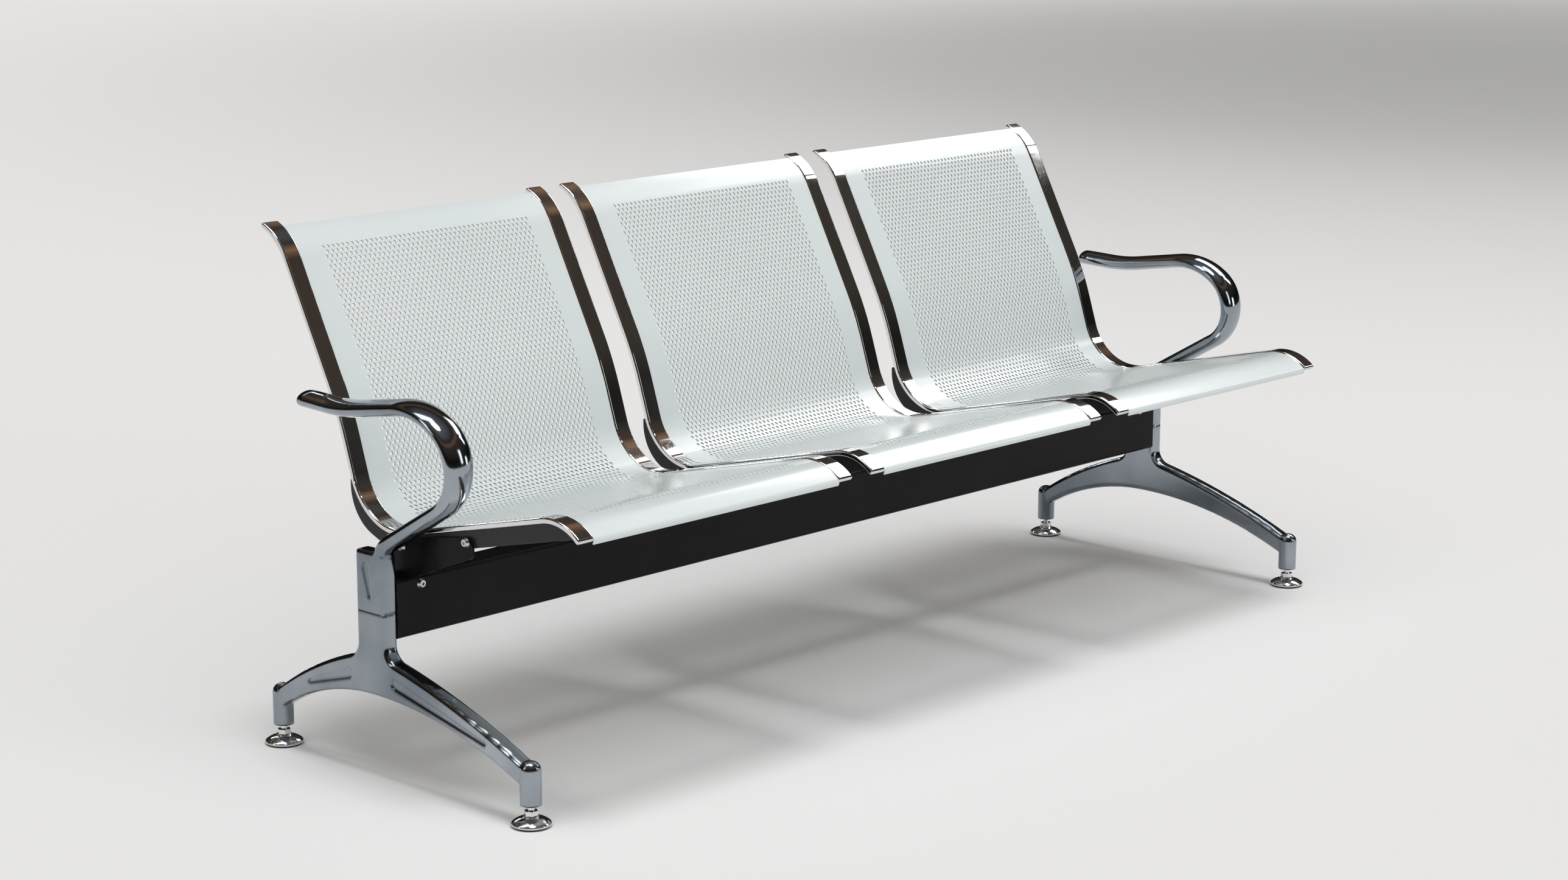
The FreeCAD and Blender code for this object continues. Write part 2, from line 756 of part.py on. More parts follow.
def make_armrest(name, side):
    """The upper casting: the post's upper half, the armrest loop and a spigot in the beam."""
    body = new_body(name)
    seam = size("seam_height")
    post_sketch = add_sketch(body, "post", "XY_Plane", post_section(), seam)
    post = add_pad(body, post_sketch, "sizes.shoulder_height - sizes.seam_height", symmetric=False)
    shoulder = size("shoulder_height")
    rim = edges_where(post, lambda edge, middle: abs(middle.z - shoulder) < 0.01)
    add_fillet(body, "shoulder", post, rim, "sizes.shoulder_radius")

    pen, narrowing = arm_spine()
    spine = add_sketch(body, "spine", "YZ_Plane", pen.edges)
    start = first_point(pen.edges)
    rear = (start.x, start.y, math.radians(size("arm_tip_angle")))
    profile = section_sketch(body, "rear_oval", *rear, size("arm_width"), size("arm_thickness"))
    front = section_sketch(body, "front_oval", *narrowing, size("arm_width"), size("arm_thickness"))
    root_at = (pen.y, pen.z, pen.heading)
    root = section_sketch(body, "root_oval", *root_at, size("arm_root_width"), size("arm_thickness"))
    doc.recompute()
    loop = body.newObject("PartDesign::AdditivePipe", body.Name + "_loop")
    loop.Profile = profile
    loop.Spine = (spine, [])
    loop.Mode = "Binormal"
    loop.Binormal = Vector(1, 0, 0)
    loop.Transformation = "Multisection"
    loop.Sections = [(front, [""]), (root, [""])]
    doc.recompute()
    add_arm_tip(body, start)

    spigot_height = "sizes.beam_top - sizes.beam_wall - sizes.seam_height - 1.5 * sizes.spigot_clearance"
    low = seam + size("spigot_clearance") / 2
    add_spigot(body, side, size("arm_spigot_length"), low, spigot_height)
    add_end_bolt_holes(body, side)
    top_end = Vector(size("post_hollow_back"), shoulder - size("post_hollow_drop"), 0)
    low_end = Vector(top_end.x - size("post_hollow_lean"), seam + size("post_hollow_rise"), 0)
    slot = tapered_slot(top_end, low_end, size("post_hollow_radius"), size("hollow_tail_radius"))
    add_hollow(body, "hollow", side, slot)
    place(body, leg_x(side))
    return body


def add_end_bolt_holes(body, side):
    """Threaded holes, from the front and the back, for the bolts through the beam's walls."""
    x = -side * (size("casting_width") / 2 + size("armrest_bolt_reach"))
    z = size("beam_top") - size("armrest_bolt_drop")
    hole = circle(x, z, size("bolt_diameter") / 2 + size("bolt_clearance"))
    sketch = add_sketch(body, "bolt_holes", "XZ_Plane", hole)
    add_pocket(body, sketch, "sizes.beam_depth * %d" % THROUGH, symmetric=True)


def arc_with_bulge(start, end, bulge):
    """An arc from start to end that stands out to its left by a bulge."""
    chord = end - start
    middle = (start + end) * 0.5
    normal = Vector(-chord.y, chord.x, 0).normalize()
    return Part.Arc(start, middle + normal * bulge, end)


def arch_arc(foot_y):
    """The underside of one leg arm: an arc that is level at the crown of the arch."""
    crown = size("arch_height")
    drop = crown - size("arch_end_height")
    reach = abs(foot_y)
    radius = (reach ** 2 + drop ** 2) / (2 * drop)
    half_turn = math.asin(reach / radius) / 2
    way = 1 if foot_y > 0 else -1
    middle = Vector(way * radius * math.sin(half_turn), crown - radius * (1 - math.cos(half_turn)), 0)
    return Part.Arc(Vector(0, crown, 0), middle, Vector(foot_y, size("arch_end_height"), 0))


def leg_top_arc(foot_y):
    """The upper edge of one leg arm, from the post's face to the boss."""
    front_face = -size("beam_depth") / 2
    face = front_face if foot_y < 0 else front_face + size("post_depth")
    root = Vector(face, size("arm_crown_height"), 0)
    end = Vector(foot_y, size("leg_end_height"), 0)
    if foot_y < 0:
        return arc_with_bulge(root, end, -size("leg_bulge"))
    return arc_with_bulge(end, root, -size("leg_bulge"))


def height_on(arc, y):
    """The upper height of a circular arc at a given y."""
    circle_of_arc = arc.toShape().Curve
    centre = circle_of_arc.Center
    return centre.y + math.sqrt(circle_of_arc.Radius ** 2 - (y - centre.x) ** 2)


def leg_hollow(foot_y):
    """A drop-shaped hollow that runs along the middle of one leg arm."""
    way = 1 if foot_y > 0 else -1
    post_face = leg_top_arc(foot_y).StartPoint.x if foot_y < 0 else leg_top_arc(foot_y).EndPoint.x

    def middle(y):
        return Vector(y, (height_on(arch_arc(foot_y), y) + height_on(leg_top_arc(foot_y), y)) / 2, 0)

    start = middle(post_face + way * size("leg_hollow_start"))
    end = middle(foot_y - way * size("leg_hollow_end"))
    return tapered_slot(start, end, size("leg_hollow_radius"), size("hollow_tail_radius"))


def leg_outline():
    """The leg seen from the side: an arch below, two slim arms above and the post's lower half."""
    front_face = -size("beam_depth") / 2
    rear_face = front_face + size("post_depth")
    rear = size("foot_rear")
    front = -size("foot_front")
    seam = size("seam_height")
    arch_end = size("arch_end_height")
    arm_end = size("leg_end_height")
    crown = size("arm_crown_height")
    straight = [
        Part.LineSegment(Vector(front, arch_end, 0), Vector(front, arm_end, 0)),
        Part.LineSegment(Vector(rear, arch_end, 0), Vector(rear, arm_end, 0)),
        Part.LineSegment(Vector(front_face, crown, 0), Vector(front_face, seam, 0)),
        Part.LineSegment(Vector(rear_face, crown, 0), Vector(rear_face, seam, 0)),
        Part.LineSegment(Vector(front_face, seam, 0), Vector(rear_face, seam, 0)),
    ]
    return [arch_arc(rear), arch_arc(front), leg_top_arc(rear), leg_top_arc(front)] + straight


def boss_profile():
    """Half of the boss at a leg's end: a round column with a domed top, (radius, z)."""
    radius = size("boss_diameter") / 2
    bottom = size("boss_bottom")
    top = size("boss_top")
    shoulder = top - size("boss_dome")
    eighth = math.pi / 4
    dome_middle = Vector(radius * math.sin(eighth), shoulder + size("boss_dome") * math.cos(eighth), 0)
    return [
        Part.LineSegment(Vector(0, top, 0), Vector(0, bottom, 0)),
        Part.LineSegment(Vector(0, bottom, 0), Vector(radius, bottom, 0)),
        Part.LineSegment(Vector(radius, bottom, 0), Vector(radius, shoulder, 0)),
        Part.Arc(Vector(radius, shoulder, 0), dome_middle, Vector(0, top, 0)),
    ]


def add_boss(body, name, foot_y):
    """A boss for a levelling foot."""
    sketch = body.newObject("Sketcher::SketchObject", body.Name + "_" + name)
    sketch.AttachmentSupport = (plane_of(body, "XZ_Plane"), [""])
    sketch.MapMode = "FlatFace"
    sketch.AttachmentOffset = Placement(Vector(0, 0, -foot_y), Rotation())
    for edge in boss_profile():
        sketch.addGeometry(edge, False)
    boss = body.newObject("PartDesign::Revolution", sketch.Name + "_round")
    boss.Profile = sketch
    boss.ReferenceAxis = (sketch, ["V_Axis"])
    boss.Angle = 360
    doc.recompute()


def make_leg(name, side):
    """The lower casting: an arched leg with a boss at each end and a spigot in the beam."""
    body = new_body(name)
    arms = add_pad(body, add_sketch(body, "outline", "YZ_Plane", leg_outline()), "sizes.casting_width")
    crown = size("arm_crown_height")
    roots = edges_where(arms, lambda edge, middle: runs_along_x(edge) and abs(middle.z - crown) < 0.01)
    rooted = add_fillet(body, "roots", arms, roots, "sizes.leg_root_radius")
    seam = size("seam_height")
    front = -size("foot_front")
    rear = size("foot_rear")

    def is_long(edge, middle):
        inside = front + 0.01 < middle.y < rear - 0.01
        return not runs_along_x(edge) and middle.z < seam - 0.01 and inside

    add_fillet(body, "edges", rooted, edges_where(rooted, is_long), "sizes.post_edge_radius")
    add_boss(body, "front_boss", front)
    add_boss(body, "rear_boss", rear)
    bores = []
    for y in (front, rear):
        bores += circle(0, y, size("stem_diameter") / 2 + size("stem_clearance"))
    sketch = add_sketch(body, "bores", "XY_Plane", bores, size("boss_bottom"))
    add_pocket(body, sketch, "sizes.bore_depth", reversed_way=True)
    spigot_height = "sizes.seam_height - sizes.beam_bottom - sizes.beam_wall - 1.5 * sizes.spigot_clearance"
    low = size("beam_bottom") + size("beam_wall") + size("spigot_clearance")
    add_spigot(body, side, size("leg_spigot_length"), low, spigot_height)
    add_leg_bolt_holes(body, side)
    add_hollow(body, "front_hollow", side, leg_hollow(front))
    add_hollow(body, "rear_hollow", side, leg_hollow(rear))
    place(body, leg_x(side))
    return body


def add_leg_bolt_holes(body, side):
    """Threaded holes in the lower spigot, for the bolts through the beam's bottom wall."""
    middle = -side * (size("casting_width") / 2 + size("leg_bolt_reach"))
    holes = []
    for way in (-1, 1):
        x = middle + way * size("leg_bolt_spacing") / 2
        holes += circle(x, 0, size("bolt_diameter") / 2 + size("bolt_clearance"))
    sketch = add_sketch(body, "bolt_holes", "XY_Plane", holes, size("beam_bottom"))
    add_pocket(body, sketch, "sizes.end_bolt_grip + sizes.end_bore_spare", reversed_way=True)


def make_foot_pad(name, x, y):
    """The rubber pad under a levelling foot."""
    pad = doc.addObject("Part::Cylinder", name)
    pad.Label = name
    pad.setExpression("Radius", "sizes.foot_pad_diameter / 2")
    pad.setExpression("Height", "sizes.foot_pad_thickness")
    place(pad, x, y)
    return pad


def disc_profile():
    """Half of the foot's pressed disc: rim, dome and hub, hollow below for the stem's head."""
    base = size("foot_pad_thickness")
    rim = size("disc_diameter") / 2
    rim_top = base + size("disc_rim_height")
    hub = size("hub_diameter") / 2
    top = base + size("disc_height")
    neck = size("stem_diameter") / 2 + size("stem_clearance")
    cavity = size("head_diameter") / 2 + size("foot_gap")
    ceiling = base + size("foot_gap") + size("head_height") + size("foot_gap")
    shelf = rim_top + size("disc_dome_height")
    corners = [
        Vector(cavity, base, 0),
        Vector(rim, base, 0),
        Vector(rim, rim_top, 0),
    ]
    edges = [Part.LineSegment(corners[k], corners[k + 1]) for k in range(2)]
    edges.append(arc_with_bulge(Vector(hub, shelf, 0), corners[2], size("disc_dome_bulge")))
    inner = [
        Vector(hub, shelf, 0),
        Vector(hub, top, 0),
        Vector(neck, top, 0),
        Vector(neck, ceiling, 0),
        Vector(cavity, ceiling, 0),
        Vector(cavity, base, 0),
    ]
    edges += [Part.LineSegment(inner[k], inner[k + 1]) for k in range(5)]
    return edges


def make_foot_disc(name, x, y):
    """The chromed disc that spreads the load of a levelling foot."""
    body = new_body(name)
    sketch = add_sketch(body, "profile", "XZ_Plane", disc_profile())
    disc = body.newObject("PartDesign::Revolution", name + "_round")
    disc.Profile = sketch
    disc.ReferenceAxis = (sketch, ["V_Axis"])
    disc.Angle = 360
    place(body, x, y)
    return body


def make_foot_stem(name, x, y):
    """The threaded stem of a levelling foot, with its captured head and its hexagon collar."""
    body = new_body(name)
    base = size("foot_pad_thickness") + size("foot_gap")
    top = size("foot_pad_thickness") + size("disc_height") + size("foot_gap")
    head_sketch = add_sketch(body, "head", "XY_Plane", circle(0, 0, size("head_diameter") / 2), base)
    add_pad(body, head_sketch, "sizes.head_height", symmetric=False)
    rod_sketch = add_sketch(body, "rod", "XY_Plane", circle(0, 0, size("stem_diameter") / 2), base)
    add_pad(body, rod_sketch, "sizes.stem_length", symmetric=False)
    corners = []
    reach = size("collar_flats") / 2 / math.cos(math.pi / 6)
    for k in range(6):
        angle = math.radians(60 * k)
        corners.append((reach * math.cos(angle), reach * math.sin(angle), 0))
    collar_sketch = add_sketch(body, "collar", "XY_Plane", rounded_polygon(corners), top)
    add_pad(body, collar_sketch, "sizes.collar_height", symmetric=False)
    place(body, x, y)
    return body


def make_bolt(name, grip):
    """A button head bolt that points down, with a hexagon socket, its head's seat at z = 0."""
    head = doc.addObject("Part::Cone", name + "_head")
    head.setExpression("Radius1", "sizes.bolt_head_diameter / 2")
    head.setExpression("Radius2", "sizes.bolt_head_diameter / 2 - sizes.bolt_head_height / 2")
    head.setExpression("Height", "sizes.bolt_head_height")
    shank = doc.addObject("Part::Cylinder", name + "_shank")
    shank.setExpression("Radius", "sizes.bolt_diameter / 2")
    shank.setExpression("Height", grip)
    shank.setExpression("Placement.Base.z", "-(%s)" % grip)
    whole = doc.addObject("Part::Fuse", name + "_solid")
    whole.Base = head
    whole.Tool = shank
    socket = doc.addObject("Part::Prism", name + "_socket")
    socket.Polygon = 6
    socket.setExpression("Circumradius", "sizes.bolt_socket / 2 / cos(30)")
    socket.setExpression("Height", "sizes.bolt_head_height")
    socket.setExpression("Placement.Base.z", "sizes.bolt_head_height / 2")
    bolt = doc.addObject("Part::Cut", name)
    bolt.Base = whole
    bolt.Tool = socket
    return bolt


def make_ring(name, outer, inner, height):
    """A washer or the like: a flat ring that stands on z = 0."""
    disc = doc.addObject("Part::Cylinder", name + "_disc")
    disc.setExpression("Radius", outer)
    disc.setExpression("Height", height)
    return bore_out(name, disc, inner, height)


def bore_out(name, solid, inner, height):
    hole = doc.addObject("Part::Cylinder", name + "_hole")
    hole.setExpression("Radius", inner)
    hole.setExpression("Height", height)
    ring = doc.addObject("Part::Cut", name)
    ring.Base = solid
    ring.Tool = hole
    return ring


def make_nut(name):
    """A hexagon nut that stands on z = 0."""
    prism = doc.addObject("Part::Prism", name + "_prism")
    prism.Polygon = 6
    prism.setExpression("Circumradius", "sizes.nut_flats / 2 / cos(30)")
    prism.setExpression("Height", "sizes.nut_height")
    return bore_out(name, prism, "sizes.bolt_diameter / 2 + sizes.bolt_clearance", "sizes.nut_height")


def make_insert(name):
    """A threaded insert: a rim on the beam's top wall and a sleeve inside the beam."""
    sleeve = doc.addObject("Part::Cylinder", name + "_sleeve")
    sleeve.setExpression("Radius", "sizes.insert_diameter / 2")
    sleeve.setExpression("Height", "sizes.insert_length")
    return bore_out(name, sleeve, "sizes.bolt_diameter / 2 + sizes.bolt_clearance", "sizes.insert_length")


def group(name, pieces):
    """Identical fasteners kept together in one sub-part."""
    compound = doc.addObject("Part::Compound", name)
    compound.Label = name
    compound.Links = pieces
    return compound


def bracket_sites():
    """Every bracket's bolt place, as expressions: (x, y)."""
    sites = []
    for seat in range(SEAT_COUNT):
        for side in (-1, 1):
            x = rail_x(seat, side) + " + " + flange_bolt_x(side)
            for way in (-1, 1):
                sites.append((x, "sizes.beam_y + %d * sizes.bracket_bolt_spacing / 2" % way))
    return sites


def make_bracket_fasteners():
    """Bolts, washers and inserts that hold the brackets down on the beam."""
    bolts = []
    washers = []
    inserts = []
    deck = "sizes.beam_top + sizes.bracket_thickness"
    grip = "sizes.washer_thickness + sizes.bracket_thickness + sizes.insert_length - sizes.bolt_spare"
    for number, (x, y) in enumerate(bracket_sites()):
        bolt = make_bolt("bracket_bolt_%d" % number, grip)
        place(bolt, x, y, deck + " + sizes.washer_thickness")
        bolts.append(bolt)
        inner = "sizes.bolt_diameter / 2 + sizes.bolt_clearance"
        washer_name = "bracket_washer_%d" % number
        washer = make_ring(washer_name, "sizes.washer_diameter / 2", inner, "sizes.washer_thickness")
        place(washer, x, y, deck)
        washers.append(washer)
        insert = make_insert("beam_insert_%d" % number)
        place(insert, x, y, "sizes.beam_top - sizes.insert_length")
        inserts.append(insert)
    bolt_group = group("bracket_bolts", bolts)
    return [bolt_group, group("bracket_washers", washers), group("beam_inserts", inserts)]


def turn_towards_x(item, side):
    """Turn a fastener drawn along Z so that its head looks outwards along X."""
    item.Placement = Placement(Vector(0, 0, 0), Rotation(Vector(0, 1, 0), 90 * side))


def make_plate_fasteners():
    """Bolts and nuts that join each bracket to its side plate."""
    bolts = []
    nuts = []
    grip = "sizes.bracket_thickness + sizes.plate_thickness + sizes.nut_height + sizes.bolt_spare"
    places = [
        ("sizes.beam_y - sizes.front_bolt_reach", "sizes.seat_bottom + sizes.front_bolt_rise"),
        ("sizes.beam_y - sizes.rear_bolt_reach", "sizes.seat_bottom - sizes.rear_bolt_drop"),
    ]
    number = 0
    for seat in range(SEAT_COUNT):
        for side in (-1, 1):
            outer = "%d * (sizes.web_offset + sizes.bracket_thickness / 2)" % side
            inner = "%d * (sizes.plate_thickness / 2 + sizes.nut_height)" % -side
            for y, z in places:
                bolt = make_bolt("plate_bolt_%d" % number, grip)
                turn_towards_x(bolt, side)
                place(bolt, rail_x(seat, side) + " + " + outer, y, z)
                bolts.append(bolt)
                nut = make_nut("plate_nut_%d" % number)
                turn_towards_x(nut, side)
                place(nut, rail_x(seat, side) + " + " + inner, y, z)
                nuts.append(nut)
                number += 1
    return [group("plate_bolts", bolts), group("plate_nuts", nuts)]


def make_end_fasteners():
    """Bolts through the beam's walls into the spigots of the castings."""
    armrest_bolts = []
    leg_bolts = []
    beam_end = "sizes.leg_plane - sizes.casting_width / 2"
    grip = "sizes.end_bolt_grip"
    for side in (-1, 1):
        x = "%d * (%s - sizes.armrest_bolt_reach)" % (side, beam_end)
        leg_bolts_x = "%d * (%s - sizes.leg_bolt_reach)" % (side, beam_end)
        for way in (-1, 1):
            bolt = make_bolt("armrest_bolt_%d" % len(armrest_bolts), grip)
            bolt.Placement = Placement(Vector(0, 0, 0), Rotation(Vector(1, 0, 0), -90 * way))
            y = "sizes.beam_y + %d * sizes.beam_depth / 2" % way
            place(bolt, x, y, "sizes.beam_top - sizes.armrest_bolt_drop")
            armrest_bolts.append(bolt)
            low = make_bolt("leg_bolt_%d" % len(leg_bolts), grip)
            low.Placement = Placement(Vector(0, 0, 0), Rotation(Vector(1, 0, 0), 180))
            low_x = "%s + %d * sizes.leg_bolt_spacing / 2" % (leg_bolts_x, way)
            place(low, low_x, "sizes.beam_y", "sizes.beam_bottom")
            leg_bolts.append(low)
    return [group("armrest_bolts", armrest_bolts), group("leg_bolts", leg_bolts)]


def side_word(side):
    return "left" if side < 0 else "right"


def make_everything():
    parts = [make_beam()]
    foot_places = [("front", "sizes.beam_y - sizes.foot_front"), ("rear", "sizes.beam_y + sizes.foot_rear")]
    for side in (-1, 1):
        parts.append(make_leg("leg_" + side_word(side), side))
        parts.append(make_armrest("armrest_" + side_word(side), side))
        for spot, y in foot_places:
            ending = "%s_%s" % (side_word(side), spot)
            parts.append(make_foot_pad("foot_pad_" + ending, leg_x(side), y))
            parts.append(make_foot_disc("foot_disc_" + ending, leg_x(side), y))
            parts.append(make_foot_stem("foot_stem_" + ending, leg_x(side), y))
    for seat in range(SEAT_COUNT):
        number = seat + 1
        parts.append(make_panel("seat_panel_%d" % number, seat))
        for side in (-1, 1):
            ending = "%d_%s" % (number, side_word(side))
            parts.append(make_rail("seat_rail_" + ending, seat, side))
            parts.append(make_side_plate("side_plate_" + ending, seat, side))
            parts.append(make_bracket("seat_bracket_" + ending, seat, side))
    parts += make_bracket_fasteners()
    parts += make_plate_fasteners()
    parts += make_end_fasteners()
    return parts


def check_and_write(parts):
    """Every object is free of errors and every shape is sound before anything is written."""
    doc.recompute()
    for item in doc.Objects:
        if "Invalid" in item.State or "Error" in item.State:
            raise RuntimeError(item.Name + " failed: " + str(item.State))
    for part in parts:
        if part.Shape.isNull() or not part.Shape.isValid():
            raise RuntimeError(part.Label + " has no sound shape")
    os.makedirs("parts", exist_ok=True)
    for part in parts:
        part.Shape.exportStep("parts/%s.step" % part.Label)
        box = part.Shape.BoundBox
        print("%-24s solids %2d  volume %9.0f  x %7.1f..%7.1f  y %7.1f..%7.1f  z %6.1f..%6.1f" % (
            part.Label, len(part.Shape.Solids), part.Shape.Volume,
            box.XMin, box.XMax, box.YMin, box.YMax, box.ZMin, box.ZMax))


add_derived_sizes()
check_and_write(make_everything())
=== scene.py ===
# %% [markdown]
# Beam seating, three places
#
# A waiting-room bench: three perforated steel seats between chromed rails, on one black box beam,
# carried by two cast and polished legs with looped armrests and levelling feet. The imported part
# already has the shape of every piece, so this lesson dresses it: it punches the holes that the
# solids leave out, gives each metal its own finish, and lights the bench as for a catalogue page.

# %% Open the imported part
import math

import bpy
from mathutils import Matrix, Vector


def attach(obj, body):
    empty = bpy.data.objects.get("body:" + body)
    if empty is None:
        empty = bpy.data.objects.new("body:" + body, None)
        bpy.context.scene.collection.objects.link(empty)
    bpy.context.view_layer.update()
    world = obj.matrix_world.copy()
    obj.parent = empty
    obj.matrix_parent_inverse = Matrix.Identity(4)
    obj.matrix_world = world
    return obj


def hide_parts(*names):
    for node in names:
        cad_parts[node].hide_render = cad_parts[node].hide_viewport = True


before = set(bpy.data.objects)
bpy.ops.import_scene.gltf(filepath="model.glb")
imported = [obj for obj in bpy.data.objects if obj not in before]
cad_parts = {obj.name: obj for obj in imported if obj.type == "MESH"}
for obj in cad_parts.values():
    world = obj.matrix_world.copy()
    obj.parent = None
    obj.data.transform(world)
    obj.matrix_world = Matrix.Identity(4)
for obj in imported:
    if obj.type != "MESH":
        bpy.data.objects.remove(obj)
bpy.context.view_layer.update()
MM = 0.001
print("pieces in the packed part:", len(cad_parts))

# %% [markdown]
# The camera stands to the left and in front of the bench, a little above the armrests, with a long
# lens. Its place and angles were found by matching the rails, the beam and the four feet, so the render
# can be laid over the picture.

# %% Camera
LENS_MM = 74.6
SENSOR_MM = 36.0
FARTHEST_SEEN = 200.0
CAMERA_PLACE = Vector((-3655.9, -3365.3, 1430.8)) * MM
CAMERA_YAW = 46.54
CAMERA_PITCH = 12.24
CAMERA_ROLL = 0.07

camera_data = bpy.data.cameras.new("camera")
camera_data.lens = LENS_MM
camera_data.sensor_width = SENSOR_MM
camera_data.clip_end = FARTHEST_SEEN
camera = bpy.data.objects.new("camera", camera_data)
turned = Matrix.Rotation(math.radians(-CAMERA_YAW), 4, "Z")
tilted = Matrix.Rotation(math.radians(90 - CAMERA_PITCH), 4, "X")
rolled = Matrix.Rotation(math.radians(CAMERA_ROLL), 4, "Z")
camera.matrix_world = Matrix.Translation(CAMERA_PLACE) @ turned @ tilted @ rolled
bpy.context.scene.collection.objects.link(camera)
bpy.context.scene.camera = camera
print("camera at", [round(value, 3) for value in CAMERA_PLACE])

# %% [markdown]
# Every material here starts from one Principled BSDF, the shader that covers paint, metal and
# rubber alike. Floor and room also need a colour that changes with a distance or a direction,
# which a colour ramp gives. Both are made by small helpers, so the later cells stay short.

# %% A first material and a colour ramp


def principled(name, color, roughness, metallic=0.0):
    """A new material with one Principled BSDF; returns the material, its tree and the shader."""
    material = bpy.data.materials.new(name)
    material.use_nodes = True
    tree = material.node_tree
    shader = tree.nodes["Principled BSDF"]
    shader.inputs["Base Color"].default_value = (*color, 1.0)
    shader.inputs["Roughness"].default_value = roughness
    shader.inputs["Metallic"].default_value = metallic
    return material, tree, shader


def set_ramp(ramp, stops):
    """Gives a colour ramp node its stops, each a position and a colour."""
    elements = ramp.color_ramp.elements
    elements.remove(elements[1])
    elements[0].position = stops[0][0]
    elements[0].color = (*stops[0][1], 1.0)
    for position, color in stops[1:]:
        elements.new(position).color = (*color, 1.0)


# %% [markdown]
# The bench stands on pale paper that runs out of the picture on every side. A backdrop of one even grey
# would look cut out, so the paper gets painted shade: its grey darkens smoothly towards one point of
# the floor, far behind the bench on the right, standing for the light falling off where the lamps don't
# reach.

# %% Floor paper with painted shade
PAPER_COLOR = (0.86, 0.86, 0.86)
PAPER_ROUGHNESS = 0.9
PAINTED_SHADE_CENTRE = (9.5, 4.0, 0.0)
PAINTED_SHADE_REACH = 10.0
PAINTED_SHADE_STOPS = ((0.10, 0.40), (0.30, 0.46), (0.45, 0.62), (0.60, 0.72), (0.80, 0.83), (1.00, 0.78))


def make_floor_paper():
    """Pale paper with painted shade: its grey is darkest at one point of the floor and lightens with
    the distance from it, following the ramp's stops.
    """
    material, tree, shader = principled("studio_floor", PAPER_COLOR, PAPER_ROUGHNESS)
    place = tree.nodes.new("ShaderNodeTexCoord")
    away = tree.nodes.new("ShaderNodeVectorMath")
    away.operation = "DISTANCE"
    away.inputs[1].default_value = PAINTED_SHADE_CENTRE
    share = tree.nodes.new("ShaderNodeMapRange")
    share.inputs["From Max"].default_value = PAINTED_SHADE_REACH
    ramp = tree.nodes.new("ShaderNodeValToRGB")
    ramp.color_ramp.interpolation = "B_SPLINE"
    # painted shade: the ramp darkens the paper near the point far behind the bench, as if the lamps'
    # light fell off there
    set_ramp(ramp, [(position, (grey, grey, grey)) for position, grey in PAINTED_SHADE_STOPS])
    tree.links.new(place.outputs["Object"], away.inputs[0])
    tree.links.new(away.outputs["Value"], share.inputs["Value"])
    tree.links.new(share.outputs["Result"], ramp.inputs["Fac"])
    tree.links.new(ramp.outputs["Color"], shader.inputs["Base Color"])
    return material


# %% Floor
FLOOR_HALF = 40.0

floor_mesh = bpy.data.meshes.new("floor")
floor_corners = [(-FLOOR_HALF, -FLOOR_HALF, 0), (FLOOR_HALF, -FLOOR_HALF, 0),
                 (FLOOR_HALF, FLOOR_HALF, 0), (-FLOOR_HALF, FLOOR_HALF, 0)]
floor_mesh.from_pydata(floor_corners, [], [(0, 1, 2, 3)])
floor_mesh.materials.append(make_floor_paper())
floor = bpy.data.objects.new("floor", floor_mesh)
bpy.context.scene.collection.objects.link(floor)
print("floor", 2 * FLOOR_HALF, "m wide")

# %% [markdown]
# Polished metal shows its surroundings, so the room is drawn for the chrome. Its colour depends on
# the height of the direction only: nearly black at the horizon, a copper brown band half way up
# and grey overhead. An image of a room would do the same, but a ramp is easier to adjust.

# %% Dark room
ROOM_STOPS = (
    (0.00, (0.020, 0.019, 0.018)),
    (0.20, (0.008, 0.008, 0.008)),
    (0.45, (0.045, 0.040, 0.034)),
    (0.60, (0.060, 0.044, 0.034)),
    (0.68, (0.240, 0.145, 0.090)),
    (0.76, (0.040, 0.036, 0.033)),
    (1.00, (0.260, 0.270, 0.280)),
)

world = bpy.data.worlds.new("studio")
bpy.context.scene.world = world
world.use_nodes = True
room = world.node_tree
direction = room.nodes.new("ShaderNodeTexCoord")
direction_parts = room.nodes.new("ShaderNodeSeparateXYZ")
room_ramp = room.nodes.new("ShaderNodeValToRGB")
room.links.new(direction.outputs["Generated"], direction_parts.inputs["Vector"])
room.links.new(direction_parts.outputs["Z"], room_ramp.inputs["Fac"])
room.links.new(room_ramp.outputs["Color"], room.nodes["Background"].inputs["Color"])
set_ramp(room_ramp, ROOM_STOPS)
print("room colours:", len(ROOM_STOPS))

# %% [markdown]
# The light on the bench comes from two sun lamps. A sun's light doesn't weaken with distance, so
# the wide floor keeps its tone. The first stands nearly overhead and lays the soft shadow of the
# punched seats under the bench. The second is very wide, comes from the front left and fills the
# backs; it is left out of reflections, where it would be one large white disc.

# %% Lamps
LAMP_TARGET = (0.0, 0.0, 0.3)
KEY_PLACE = (0.0, -0.2, 3.0)
KEY_STRENGTH = 1.25
KEY_ANGLE = 18
FILL_PLACE = (-1.9, -2.7, 2.7)
FILL_STRENGTH = 2.6
FILL_ANGLE = 120


def add_lamp(name, kind, place, target, strength):
    """A lamp at place that shines towards target."""
    data = bpy.data.lights.new(name, kind)
    data.energy = strength
    lamp = bpy.data.objects.new(name, data)
    lamp.location = place
    lamp.rotation_euler = (Vector(target) - Vector(place)).to_track_quat("-Z", "Y").to_euler()
    bpy.context.scene.collection.objects.link(lamp)
    return lamp


key_lamp = add_lamp("key_light", "SUN", KEY_PLACE, LAMP_TARGET, KEY_STRENGTH)
key_lamp.data.angle = math.radians(KEY_ANGLE)
fill_lamp = add_lamp("fill_light", "SUN", FILL_PLACE, LAMP_TARGET, FILL_STRENGTH)
fill_lamp.data.angle = math.radians(FILL_ANGLE)
fill_lamp.visible_glossy = False
print("lamps over the whole floor:", key_lamp.name, fill_lamp.name)

